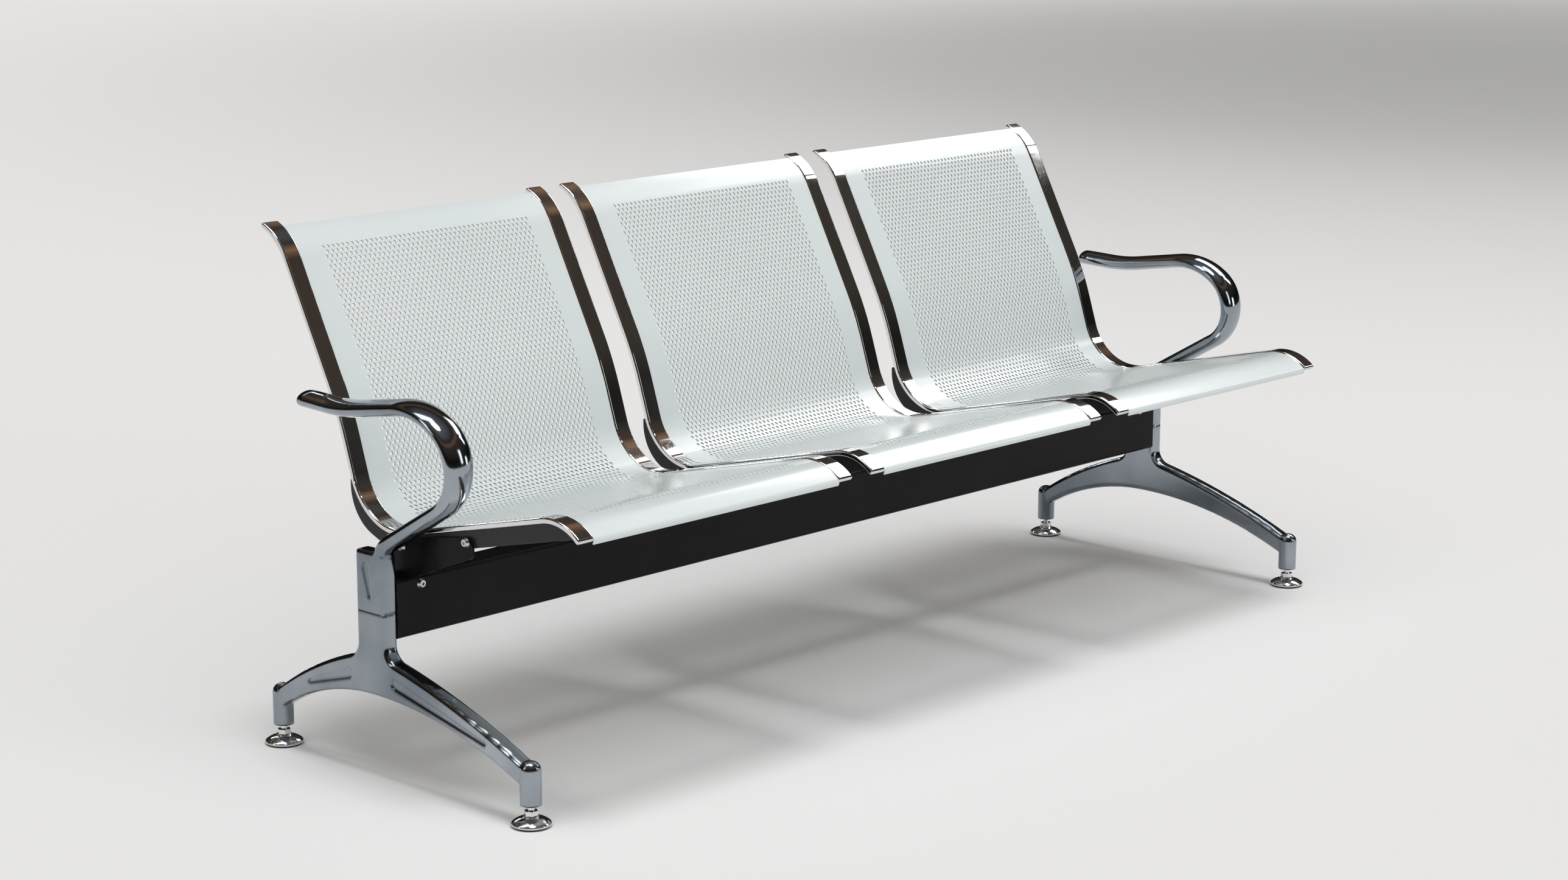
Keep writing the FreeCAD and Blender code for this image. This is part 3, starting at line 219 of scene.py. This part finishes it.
# %% [markdown]
# Chrome needs something bright to show as lines, so seven soft boxes stand round the bench: a wide
# one high on the right for the rolled edges, one over the left armrest, upright strips on the
# left, in front and far on the right for legs and rails, and a long low one behind. They show in
# reflections only, because the two suns already light the surfaces.

# %% Soft boxes
SOFT_BOX_TARGET = (0.0, 0.0, 0.4)

# Each box: its name, its place, its width and height in metres, and its brightness
SOFT_BOXES = (
    ("right_box", (3.3, 0.3, 3.3), 2.4, 1.1, 4.5),
    ("overhead_box", (-1.2, 0.6, 3.4), 0.7, 2.4, 3.5),
    ("left_box", (-3.6, 1.2, 1.9), 0.5, 1.6, 3.0),
    ("front_box", (1.6, -3.6, 1.7), 0.5, 1.8, 3.0),
    ("low_front_box", (3.0, -2.9, 0.9), 0.35, 0.9, 5.0),
    ("far_right_box", (3.9, -1.3, 3.0), 0.5, 1.2, 5.0),
    ("back_box", (0.9, 3.8, 2.2), 1.6, 0.25, 5.0),
)

for name, place, width, height, brightness in SOFT_BOXES:
    power = brightness * math.pi * width * height
    soft_box = add_lamp(name, "AREA", place, SOFT_BOX_TARGET, power)
    soft_box.data.shape = "RECTANGLE"
    soft_box.data.size = width
    soft_box.data.size_y = height
    soft_box.visible_diffuse = False
    print(name, round(power, 1), "W")

# %% [markdown]
# The seats follow one side profile: the crest of the back, the straight back, the bend into the
# seat, the seat rising slightly to the front, and the front roll. It is drawn here with the
# same runs and arcs that shape the rails, so that whatever is laid on it lands on the part.

# %% The side profile of a seat
BEAM_Y = 45.54
PROFILE_START = (276.7, 752.0)
CREST_ANGLE = 22.0

# A run gives its length; an arc gives its radius and the angle at which it ends
PROFILE = (
    ("arc", 100.0, 62.1),
    ("run", 188.6),
    ("arc", 493.0, 72.0),
    ("run", 51.0),
    ("arc", -90.9, -13.1),
    ("run", 287.6),
    ("arc", 84.7, 39.9),
)


def profile_place(distance, depth):
    """Y, Z and heading, in millimetres and radians, at a length along the rails' upper face.

    depth is how far below that face the point lies.
    """
    y, z = PROFILE_START
    heading = math.radians(CREST_ANGLE)
    left = distance
    for part in PROFILE:
        if part[0] == "run":
            step = min(left, part[1])
            y -= step * math.cos(heading)
            z -= step * math.sin(heading)
        else:
            radius = part[1]
            turn = math.radians(part[2]) - heading
            step = min(left, turn * radius)
            turned = heading + step / radius
            y -= radius * (math.sin(turned) - math.sin(heading))
            z += radius * (math.cos(turned) - math.cos(heading))
            heading = turned
        left -= step
        if left <= 0:
            break
    return y + depth * math.sin(heading) + BEAM_Y, z - depth * math.cos(heading), heading


def profile_length():
    """The length of the whole profile, run by run and arc by arc."""
    total = 0.0
    heading = math.radians(CREST_ANGLE)
    for part in PROFILE:
        if part[0] == "run":
            total += part[1]
        else:
            total += (math.radians(part[2]) - heading) * part[1]
            heading = math.radians(part[2])
    return total


PROFILE_LENGTH = profile_length()
print("profile length", round(PROFILE_LENGTH, 1), "mm")

# %% [markdown]
# A seat is one steel sheet, punched with small round holes in staggered rows and powder coated.
# A texture could fake the holes, but light has to fall through them onto the floor, so they are
# cut in the mesh. Sizes are in millimetres: across the sheet from its middle, and along it from
# the crest. Thousands of holes add up, so each has seven sides, which still look round. The number
# of rows is odd, so that the first and the last row are alike.

# %% Pattern of holes
HOLE_DIAMETER = 6.0
HOLE_SIDES = 7
HOLE_COLUMNS = 45
FIELD_HALF_WIDTH = 195.0
FIELD_START = 59.0
FIELD_END = 843.0
HOLE_PITCH = 2 * FIELD_HALF_WIDTH / (HOLE_COLUMNS - 1)
ROW_PITCH = HOLE_PITCH * math.sqrt(3) / 2
HOLE_ROWS = int((FIELD_END - FIELD_START) / ROW_PITCH) // 2 * 2 + 1
LAST_ROW = FIELD_START + (HOLE_ROWS - 1) * ROW_PITCH
print("hole pitch", round(HOLE_PITCH, 2), "mm,", HOLE_ROWS, "rows")

# %% [markdown]
# Each hole sits in a six-sided cell, as in a honeycomb. Neighbouring cells share their corners, so
# the field closes without gaps. A cell has a point at its top and bottom, and upright sides.

# %% One hole in its cell
CELL_SIDES = 6
CELL_RADIUS = HOLE_PITCH / math.sqrt(3)
CELL_SHOULDER = CELL_RADIUS / 2
FIRST_CORNER = 30
CORNER_TURN = 360 // CELL_SIDES
ROUNDING_SPARE = 1e-9


class FlatPattern:
    """Points and faces of the unrolled sheet, with shared corners found by their rounded place."""

    def __init__(self):
        self.points = []
        self.faces = []
        self.rims = []
        self.found = {}

    def point(self, across, along):
        """The number of the point at this place, which is made if it isn't there yet."""
        key = (round(across, 3), round(along, 3))
        if key not in self.found:
            self.found[key] = len(self.points)
            self.points.append((across, along))
        return self.found[key]


def add_hole_cell(pattern, across, along):
    """One hole in its cell: the ring between hole and corners is filled with triangles and quads."""
    corners = []
    for step in range(CELL_SIDES):
        angle = math.radians(FIRST_CORNER + CORNER_TURN * step)
        corners.append(pattern.point(across + CELL_RADIUS * math.cos(angle),
                                     along + CELL_RADIUS * math.sin(angle)))
    first = len(pattern.points)
    for step in range(HOLE_SIDES):
        angle = math.radians(FIRST_CORNER) + 2 * math.pi * step / HOLE_SIDES
        pattern.points.append((across + HOLE_DIAMETER / 2 * math.cos(angle),
                               along + HOLE_DIAMETER / 2 * math.sin(angle)))
    rim = list(range(first, first + HOLE_SIDES))
    pattern.rims.append(rim)
    outer = 0
    for inner in range(HOLE_SIDES):
        following = (inner + 1) % HOLE_SIDES
        reach = (inner + 1) / HOLE_SIDES * CELL_SIDES
        near_corner = corners[outer % CELL_SIDES]
        if reach + ROUNDING_SPARE >= outer + 1:
            outer += 1
            pattern.faces.append((near_corner, corners[outer % CELL_SIDES], rim[following], rim[inner]))
        else:
            pattern.faces.append((near_corner, rim[following], rim[inner]))


cell_test = FlatPattern()
add_hole_cell(cell_test, 0.0, 0.0)
print("faces round one hole:", len(cell_test.faces))

# %% [markdown]
# The field of holes is drawn row by row. Its left and right boundary is stepped, and a side margin
# joins each corner of that boundary to the sheet's straight edge at the corner's own height.

# %% Field of holes and side margins
SHEET_WIDTH = 477.5
SHEET_EDGE = SHEET_WIDTH / 2


def row_shift(row):
    """Every second row is moved by half a pitch, so that the holes are staggered."""
    return HOLE_PITCH / 2 if row % 2 else 0.0


def add_hole_field(pattern):
    """All rows of holes; a shifted row has one hole less."""
    for row in range(HOLE_ROWS):
        for column in range(HOLE_COLUMNS - row % 2):
            across = -FIELD_HALF_WIDTH + column * HOLE_PITCH + row_shift(row)
            add_hole_cell(pattern, across, FIELD_START + row * ROW_PITCH)


def add_plain_strip(pattern, near, far):
    """Quads between two rows of points of the same count."""
    for step in range(len(near) - 1):
        pattern.faces.append((near[step], near[step + 1], far[step + 1], far[step]))


def add_side_margin(pattern, side):
    """Plain sheet from the field to the edge; side is -1 on the left and 1 on the right."""
    boundary = []
    for row in range(HOLE_ROWS):
        along = FIELD_START + row * ROW_PITCH
        across = side * (FIELD_HALF_WIDTH + HOLE_PITCH / 2 - row_shift(row))
        boundary.append(pattern.point(across, along - CELL_SHOULDER))
        boundary.append(pattern.point(across, along + CELL_SHOULDER))
    edge = [pattern.point(side * SHEET_EDGE, pattern.points[corner][1]) for corner in boundary]
    if side < 0:
        add_plain_strip(pattern, edge, boundary)
    else:
        add_plain_strip(pattern, boundary, edge)


flat_sheet = FlatPattern()
add_hole_field(flat_sheet)
add_side_margin(flat_sheet, -1)
add_side_margin(flat_sheet, 1)
print("flat sheet:", len(flat_sheet.points), "points,", len(flat_sheet.rims), "holes")

# %% [markdown]
# Above and below the field the sheet is plain. These ends are rows of points that keep the columns
# of the field's zigzag boundary, so that every corner has one to join. The sheet begins a little
# below the crest. At the front it goes on into a lip, where one unit of length is one step of
# the lip's curl.

# %% Plain ends
SHEET_START = 9.0
PLAIN_STEP = 8.0
FIELD_MARGIN = 1.0
LIP_STEPS = 8


def spread(low, high, step):
    """Evenly spaced values from low to high, no further apart than step."""
    count = max(1, math.ceil((high - low) / step))
    return [low + (high - low) * index / count for index in range(count + 1)]


def sheet_columns():
    """Places across the sheet: both edges, and the corners and points of the outermost cells."""
    columns = [-SHEET_EDGE]
    for column in range(2 * HOLE_COLUMNS + 1):
        columns.append(-FIELD_HALF_WIDTH - HOLE_PITCH / 2 + column * HOLE_PITCH / 2)
    columns.append(SHEET_EDGE)
    return columns


def zigzag_row(pattern, columns, along, way):
    """The field's boundary at the row of holes at along; way is -1 above it and 1 below it."""
    boundary = [pattern.point(columns[0], along + way * CELL_SHOULDER)]
    for index, across in enumerate(columns[1:-1]):
        reach = CELL_SHOULDER if index % 2 == 0 else CELL_RADIUS
        boundary.append(pattern.point(across, along + way * reach))
    boundary.append(pattern.point(columns[-1], along + way * CELL_SHOULDER))
    return boundary


def straight_rows(pattern, columns, lengths):
    """Rows of points straight across the sheet, one at each length."""
    return [[pattern.point(across, along) for across in columns] for along in lengths]


def add_plain_end(pattern, rows):
    """Strips of quads from each row to the next."""
    for near, far in zip(rows, rows[1:]):
        add_plain_strip(pattern, near, far)


columns = sheet_columns()
above = spread(SHEET_START, FIELD_START - CELL_RADIUS - FIELD_MARGIN, PLAIN_STEP)
below = spread(LAST_ROW + CELL_RADIUS + FIELD_MARGIN, PROFILE_LENGTH, PLAIN_STEP)
below += [PROFILE_LENGTH + step for step in range(1, LIP_STEPS + 1)]
field_top = zigzag_row(flat_sheet, columns, FIELD_START, -1)
field_bottom = zigzag_row(flat_sheet, columns, LAST_ROW, 1)
add_plain_end(flat_sheet, straight_rows(flat_sheet, columns, above) + [field_top])
add_plain_end(flat_sheet, [field_bottom] + straight_rows(flat_sheet, columns, below))
print("rows above and below the field:", len(above), len(below))

# %% [markdown]
# Now the flat pattern is laid along the side profile, as a press brake and rollers do with the real
# sheet. It lies between the rails, slightly below their upper faces, and the front lip curls
# back under the roll.

# %% Lay the sheet along the profile
SHEET_DROP = 2.0
LIP_RADIUS = 7.0
LIP_TURN = 95.0


def sheet_place(along, depth):
    """Y and Z of a point of the sheet, depth below its upper face."""
    if along <= PROFILE_LENGTH:
        return profile_place(along, SHEET_DROP + depth)[:2]
    y, z, heading = profile_place(PROFILE_LENGTH, SHEET_DROP + LIP_RADIUS)
    turned = heading + math.radians(LIP_TURN) * (along - PROFILE_LENGTH) / LIP_STEPS
    reach = LIP_RADIUS - depth
    return y - reach * math.sin(turned), z + reach * math.cos(turned)


def face_points(pattern, depth):
    """All points of the pattern in metres, on the face that lies depth below the upper one."""
    points = []
    for across, along in pattern.points:
        y, z = sheet_place(along, depth)
        points.append((across * MM, y * MM, z * MM))
    return points


print("front lip ends at", [round(value, 1) for value in sheet_place(below[-1], 0.0)])

# %% [markdown]
# The sheet is laid twice, once for each face, and the two are joined round the holes and round the rim,
# so that the steel shows its thickness. On the back the holes' walls get a dark grey material of their
# own, which is painted shade: it stands for the shade inside the holes. The pan is seen so flatly that
# grey walls would darken all of it, and there the walls keep the coat, as if lit from above.

# %% Seat mesh
SHEET_THICKNESS = 1.8
PAN_START = 470.0
SHARP_ANGLE = 40
COAT_SLOT = 0
SHADED_WALL_SLOT = 1


def edge_pairs(loop):
    """The edges of a closed loop of points, each as two neighbouring points."""
    return zip(loop, loop[1:] + loop[:1])


def make_seat_mesh(pattern):
    """The folded sheet round X = 0: the walls of the holes, two faces and the outer rim."""
    count = len(pattern.points)
    points = face_points(pattern, 0.0) + face_points(pattern, SHEET_THICKNESS)
    faces = []
    slots = []
    for rim in pattern.rims:
        # on the back the walls take the dark painted shade, on the pan they keep the coat as if lit
        on_back = pattern.points[rim[0]][1] < PAN_START
        for first, second in edge_pairs(rim):
            faces.append((first, second, second + count, first + count))
            slots.append(SHADED_WALL_SLOT if on_back else COAT_SLOT)
    faces += pattern.faces
    faces += [tuple(corner + count for corner in reversed(face)) for face in pattern.faces]
    used = {pair for face in pattern.faces for pair in edge_pairs(face)}
    in_rim = {corner for rim in pattern.rims for corner in rim}
    for first, second in used:
        if (second, first) not in used and first not in in_rim:
            faces.append((second, first, first + count, second + count))
    slots += [COAT_SLOT] * (len(faces) - len(slots))
    mesh = bpy.data.meshes.new("punched_seat")
    mesh.from_pydata(points, [], faces)
    mesh.polygons.foreach_set("material_index", slots)
    mesh.flip_normals()
    mesh.shade_smooth()
    mesh.set_sharp_from_angle(angle=math.radians(SHARP_ANGLE))
    return mesh


seat_mesh = make_seat_mesh(flat_sheet)
seat_mesh.calc_loop_triangles()
print("triangles in one seat:", len(seat_mesh.loop_triangles))

# %% [markdown]
# No finish is the same all over: polish hazes in patches, paint has a fine grain, and edges wear
# first. One shared group turns a point's place on the piece into those masks, so that each
# material only says how strong they are. Noise gives most of them, once it is cut to a range.

# %% Helpers for node groups


def new_group(name, inputs, outputs):
    """An empty node group with named sockets; returns the group, its input node and output node."""
    group = bpy.data.node_groups.new(name, "ShaderNodeTree")
    for socket, default in inputs:
        made = group.interface.new_socket(socket, in_out="INPUT", socket_type="NodeSocketFloat")
        made.default_value = default
    for socket in outputs:
        group.interface.new_socket(socket, in_out="OUTPUT", socket_type="NodeSocketFloat")
    return group, group.nodes.new("NodeGroupInput"), group.nodes.new("NodeGroupOutput")


def add_noise(group, vector, detail):
    """A noise texture in a group, on the given vector; its scale is still to be set or linked."""
    noise = group.nodes.new("ShaderNodeTexNoise")
    noise.inputs["Detail"].default_value = detail
    group.links.new(vector, noise.inputs["Vector"])
    return noise


def add_reach(group, value, limits):
    """Spreads the values between two limits over 0 to 1."""
    reach = group.nodes.new("ShaderNodeMapRange")
    reach.inputs["From Min"].default_value = limits[0]
    reach.inputs["From Max"].default_value = limits[1]
    group.links.new(value, reach.inputs["Value"])
    return reach


# %% [markdown]
# A Bevel node gives the normal that a slightly rounded edge would have. Where it turns away from
# the surface's own normal there is an edge. Pointiness would be cheaper, but it depends on how
# the mesh is divided, and on the long flat faces of the beam it leaves blotches.

# %% Mask of worn edges
EDGE_RADIUS = 0.0016
EDGE_TURN = (0.985, 0.85)
BREAK_DETAIL = 5.0
BREAK_SCALE = 60.0
BREAK_LIMITS = (0.42, 0.62)


def add_edge_mask(group, place, made):
    """Ridges and corners, broken up by noise: 1 on a worn edge, 0 elsewhere."""
    rounded = group.nodes.new("ShaderNodeBevel")
    rounded.inputs["Radius"].default_value = EDGE_RADIUS
    turn = group.nodes.new("ShaderNodeVectorMath")
    turn.operation = "DOT_PRODUCT"
    group.links.new(rounded.outputs["Normal"], turn.inputs[0])
    group.links.new(group.nodes.new("ShaderNodeNewGeometry").outputs["Normal"], turn.inputs[1])
    sharp = add_reach(group, turn.outputs["Value"], EDGE_TURN)
    breaks = add_noise(group, place, BREAK_DETAIL)
    breaks.inputs["Scale"].default_value = BREAK_SCALE
    worn = add_reach(group, breaks.outputs["Fac"], BREAK_LIMITS)
    both = group.nodes.new("ShaderNodeMath")
    both.operation = "MULTIPLY"
    group.links.new(sharp.outputs["Result"], both.inputs[0])
    group.links.new(worn.outputs["Result"], both.inputs[1])
    group.links.new(both.outputs["Value"], made.inputs["Edge"])


# %% [markdown]
# Wiping and sleeves leave fine streaks on polish. They are noise too, squeezed in two directions
# and drawn out in the third, of which only the narrow peaks are kept.

# %% Mask of scratches
STREAK_STRETCH = (900.0, 14.0, 260.0)
STREAK_DETAIL = 1.0
STREAK_LIMITS = (0.66, 0.74)


def add_scratch_mask(group, place, made):
    """Thin streaks, long in one direction."""
    stretch = group.nodes.new("ShaderNodeVectorMath")
    stretch.operation = "MULTIPLY"
    stretch.inputs[1].default_value = STREAK_STRETCH
    group.links.new(place, stretch.inputs[0])
    streaks = add_noise(group, stretch.outputs["Vector"], STREAK_DETAIL)
    streaks.inputs["Scale"].default_value = 1.0
    thin = add_reach(group, streaks.outputs["Fac"], STREAK_LIMITS)
    group.links.new(thin.outputs["Result"], made.inputs["Scratches"])


# %% Shared wear group
WEAR_INPUTS = (("Patch Scale", 6.0), ("Grain Scale", 900.0), ("Low", 0.1), ("High", 0.2))
WEAR_OUTPUTS = ("Roughness", "Patches", "Grain", "Edge", "Scratches")
PATCH_DETAIL = 4.0
PATCH_LIMITS = (0.3, 0.7)
GRAIN_DETAIL = 2.0


def make_wear_group():
    """Patches and a roughness that follows them, grain, worn edges and scratches in one group."""
    group, given, made = new_group("surface_wear", WEAR_INPUTS, WEAR_OUTPUTS)
    links = group.links
    place = group.nodes.new("ShaderNodeTexCoord").outputs["Object"]
    patches = add_noise(group, place, PATCH_DETAIL)
    grain = add_noise(group, place, GRAIN_DETAIL)
    links.new(given.outputs["Patch Scale"], patches.inputs["Scale"])
    links.new(given.outputs["Grain Scale"], grain.inputs["Scale"])
    links.new(grain.outputs["Fac"], made.inputs["Grain"])
    spread_patches = add_reach(group, patches.outputs["Fac"], PATCH_LIMITS)
    links.new(spread_patches.outputs["Result"], made.inputs["Patches"])
    rough = add_reach(group, patches.outputs["Fac"], PATCH_LIMITS)
    links.new(given.outputs["Low"], rough.inputs["To Min"])
    links.new(given.outputs["High"], rough.inputs["To Max"])
    links.new(rough.outputs["Result"], made.inputs["Roughness"])
    add_edge_mask(group, place, made)
    add_scratch_mask(group, place, made)
    return group


wear_group = make_wear_group()
print("wear group outputs:", [item.name for item in wear_group.interface.items_tree])

# %% [markdown]
# Each finish uses the group the same way: patches blend two tones and set the roughness, and the
# grain lifts a very fine bump. Three things are added where the real metal shows them: a third
# tone on worn edges, scratches over the grain, and softened edges. A class keeps a finish's
# nodes together, so that each addition finds the node it builds on.

# %% How a finish uses the group
GRAIN_HEIGHT = 0.0002
SCRATCH_HEIGHT = 0.0001
SOFT_EDGE_SAMPLES = 8


class Finish:
    """One material, with the nodes that its wear is built from."""

    def __init__(self, name, color, roughness, metallic=0.0):
        self.material, self.tree, self.shader = principled(name, color, roughness, metallic)
        self.wear = self.tree.nodes.new("ShaderNodeGroup")
        self.wear.node_tree = wear_group

    def blend(self, mask, first, second):
        """Two tones, mixed by a mask of the wear group."""
        tones = self.tree.nodes.new("ShaderNodeMix")
        tones.data_type = "RGBA"
        tones.inputs["A"].default_value = (*first, 1.0)
        tones.inputs["B"].default_value = (*second, 1.0)
        self.tree.links.new(self.wear.outputs[mask], tones.inputs["Factor"])
        return tones

    def add_wear(self, patch_scale, grain_scale, roughness, tones, bump):
        """Two tones, patchy roughness and fine relief."""
        links = self.tree.links
        self.wear.inputs["Patch Scale"].default_value = patch_scale
        self.wear.inputs["Grain Scale"].default_value = grain_scale
        self.wear.inputs["Low"].default_value = roughness[0]
        self.wear.inputs["High"].default_value = roughness[1]
        self.body_tone = self.blend("Patches", *tones)
        links.new(self.body_tone.outputs["Result"], self.shader.inputs["Base Color"])
        links.new(self.wear.outputs["Roughness"], self.shader.inputs["Roughness"])
        self.relief = self.tree.nodes.new("ShaderNodeBump")
        self.relief.inputs["Strength"].default_value = bump
        self.relief.inputs["Distance"].default_value = GRAIN_HEIGHT
        links.new(self.wear.outputs["Grain"], self.relief.inputs["Height"])
        links.new(self.relief.outputs["Normal"], self.shader.inputs["Normal"])

    def add_edge_tone(self, color):
        """Worn edges show a third tone over the other two."""
        edge_tone = self.blend("Edge", color, color)
        self.tree.links.new(self.body_tone.outputs["Result"], edge_tone.inputs["A"])
        self.tree.links.new(edge_tone.outputs["Result"], self.shader.inputs["Base Color"])

    def add_scratches(self, strength):
        """Thin streaks over the fine relief."""
        scratched = self.tree.nodes.new("ShaderNodeBump")
        scratched.inputs["Strength"].default_value = strength
        scratched.inputs["Distance"].default_value = SCRATCH_HEIGHT
        self.tree.links.new(self.wear.outputs["Scratches"], scratched.inputs["Height"])
        self.tree.links.new(self.relief.outputs["Normal"], scratched.inputs["Normal"])
        self.tree.links.new(scratched.outputs["Normal"], self.shader.inputs["Normal"])

    def add_soft_edges(self, radius):
        """Polishing rounds every edge, so the light runs softly round it."""
        rounded = self.tree.nodes.new("ShaderNodeBevel")
        rounded.samples = SOFT_EDGE_SAMPLES
        rounded.inputs["Radius"].default_value = radius
        self.tree.links.new(rounded.outputs["Normal"], self.relief.inputs["Normal"])


# %% [markdown]
# Powder coat is a pale grey-green film with a soft sheen and a fine orange peel. A coat layer over
# a fairly rough body gives that sheen without making the sheet look wet. Scales are high for
# small marks and low for large ones: the coat's patches are wide, and its grain is fine.

# %% Powder coat and painted shade on the hole walls
powder_coat = Finish("seat_powder_coat", (0.64, 0.69, 0.69), 0.3)
powder_coat.shader.inputs["Coat Weight"].default_value = 0.5
powder_coat.shader.inputs["Coat Roughness"].default_value = 0.12
powder_coat.add_wear(patch_scale=3.0, grain_scale=700.0, roughness=(0.29, 0.34),
                     tones=((0.63, 0.685, 0.69), (0.66, 0.71, 0.715)), bump=0.12)

# The back's hole walls: a dark grey that is painted shade, standing for the shade inside the holes
shaded_hole_wall = Finish("painted_shade_hole_wall", (0.32, 0.33, 0.34), 0.5)
shaded_hole_wall.add_wear(patch_scale=300.0, grain_scale=900.0, roughness=(0.40, 0.60),
                   tones=((0.28, 0.29, 0.30), (0.36, 0.37, 0.38)), bump=0.3)
print("seat finishes:", powder_coat.material.name, shaded_hole_wall.material.name)

# %% [markdown]
# The rails are bent from flat steel bar and brightly chromed, with light scratches along them. The
# feet's domed discs are chromed too, with softer edges. Legs and armrests are castings that were
# polished by hand: darker and bluer, slightly wavy, and rounded everywhere.

# %% Three kinds of chrome
bright_chrome = Finish("bright_chrome", (0.76, 0.76, 0.76), 0.05, metallic=1.0)
bright_chrome.add_wear(patch_scale=9.0, grain_scale=300.0, roughness=(0.03, 0.08),
                       tones=((0.70, 0.70, 0.70), (0.80, 0.80, 0.80)), bump=0.04)
bright_chrome.add_scratches(0.03)

foot_chrome = Finish("foot_chrome", (0.74, 0.74, 0.74), 0.07, metallic=1.0)
foot_chrome.add_wear(patch_scale=60.0, grain_scale=500.0, roughness=(0.04, 0.12),
                     tones=((0.66, 0.66, 0.66), (0.80, 0.80, 0.80)), bump=0.05)
foot_chrome.add_soft_edges(0.005)

cast_chrome = Finish("cast_chrome", (0.28, 0.31, 0.34), 0.08, metallic=1.0)
cast_chrome.add_wear(patch_scale=5.0, grain_scale=60.0, roughness=(0.05, 0.10),
                     tones=((0.17, 0.20, 0.23), (0.42, 0.46, 0.50)), bump=0.10)
cast_chrome.add_scratches(0.04)
cast_chrome.add_soft_edges(0.008)
print("chromes:", [finish.material.name for finish in (bright_chrome, foot_chrome, cast_chrome)])

# %% [markdown]
# Beam and brackets are glossy black, and the side plates are a touch greyer and duller. Such dark
# paint turns grey with any strong reflection, so the specular level is turned down. Along the
# edges the paint is rubbed a little lighter.

# %% Black paints
beam_paint = Finish("beam_black_paint", (0.007, 0.007, 0.008), 0.2)
beam_paint.shader.inputs["Specular IOR Level"].default_value = 0.1
beam_paint.add_wear(patch_scale=8.0, grain_scale=500.0, roughness=(0.16, 0.26),
                    tones=((0.004, 0.004, 0.004), (0.008, 0.008, 0.009)), bump=0.20)
beam_paint.add_edge_tone((0.05, 0.05, 0.05))

plate_paint = Finish("side_plate_paint", (0.012, 0.012, 0.013), 0.3)
plate_paint.shader.inputs["Specular IOR Level"].default_value = 0.3
plate_paint.add_wear(patch_scale=8.0, grain_scale=500.0, roughness=(0.26, 0.40),
                     tones=((0.010, 0.010, 0.011), (0.018, 0.018, 0.019)), bump=0.20)
plate_paint.add_edge_tone((0.12, 0.12, 0.12))
print("paints:", beam_paint.material.name, plate_paint.material.name)

# %% [markdown]
# Bolts, washers, nuts and inserts are zinc plated: a dull, slightly yellow grey with a strong
# grain and brighter edges, where spanners have touched them. The pads under the feet are black
# rubber, rough all over and paler along the rim.

# %% Zinc plate and rubber
zinc = Finish("zinc_plate", (0.64, 0.64, 0.62), 0.3, metallic=1.0)
zinc.add_wear(patch_scale=120.0, grain_scale=900.0, roughness=(0.20, 0.38),
              tones=((0.58, 0.58, 0.56), (0.72, 0.72, 0.70)), bump=0.30)
zinc.add_edge_tone((0.86, 0.86, 0.85))

rubber = Finish("foot_rubber", (0.02, 0.02, 0.02), 0.8)
rubber.add_wear(patch_scale=60.0, grain_scale=900.0, roughness=(0.70, 0.90),
                tones=((0.016, 0.016, 0.016), (0.032, 0.031, 0.030)), bump=0.40)
rubber.add_edge_tone((0.07, 0.07, 0.068))
print("small parts:", zinc.material.name, rubber.material.name)

# %% [markdown]
# The three seats are copies of one mesh, moved along the beam. Each takes the place of the plain
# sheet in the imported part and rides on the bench, the body that stands still.

# %% Seats
SEAT_X = (-575.0, 0.0, 575.0)

seat_mesh.materials.append(powder_coat.material)
# second slot: the painted shade of the back's hole walls
seat_mesh.materials.append(shaded_hole_wall.material)
for number, seat_x in enumerate(SEAT_X, start=1):
    mesh = seat_mesh.copy()
    mesh.transform(Matrix.Translation((seat_x * MM, 0.0, 0.0)))
    seat = bpy.data.objects.new("punched_seat_%d" % number, mesh)
    bpy.context.scene.collection.objects.link(seat)
    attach(seat, "bench")
    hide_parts("seat_panel_%d" % number)
    print(seat.name, "at X", seat_x, "mm")

# %% [markdown]
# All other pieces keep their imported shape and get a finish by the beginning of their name. Longer
# beginnings stand before the shorter ones that would also fit, such as beam_inserts before beam.

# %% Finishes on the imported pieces
FINISHES = (
    ("seat_rail_", bright_chrome),
    ("side_plate_", plate_paint),
    ("seat_bracket_", beam_paint),
    ("beam_inserts", zinc),
    ("beam", beam_paint),
    ("armrest_bolts", zinc),
    ("leg_bolts", zinc),
    ("armrest_", cast_chrome),
    ("leg_", cast_chrome),
    ("foot_disc_", foot_chrome),
    ("foot_pad_", rubber),
    ("foot_stem_", bright_chrome),
    ("bracket_", zinc),
    ("plate_", zinc),
)


def finish_for(name):
    """The first finish whose beginning of a name fits."""
    for start, finish in FINISHES:
        if name.startswith(start):
            return finish
    raise ValueError("no finish for " + name)


dressed = 0
for name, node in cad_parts.items():
    if not node.hide_render:
        for slot in range(len(node.data.materials)):
            node.data.materials[slot] = finish_for(name).material
        dressed += 1
print("packed pieces dressed:", dressed)

# %% [markdown]
# The Standard view shows a colour about as it is written, so the finishes can be compared with the
# picture tone by tone.

# %% Colour view
bpy.context.scene.view_settings.view_transform = "Standard"
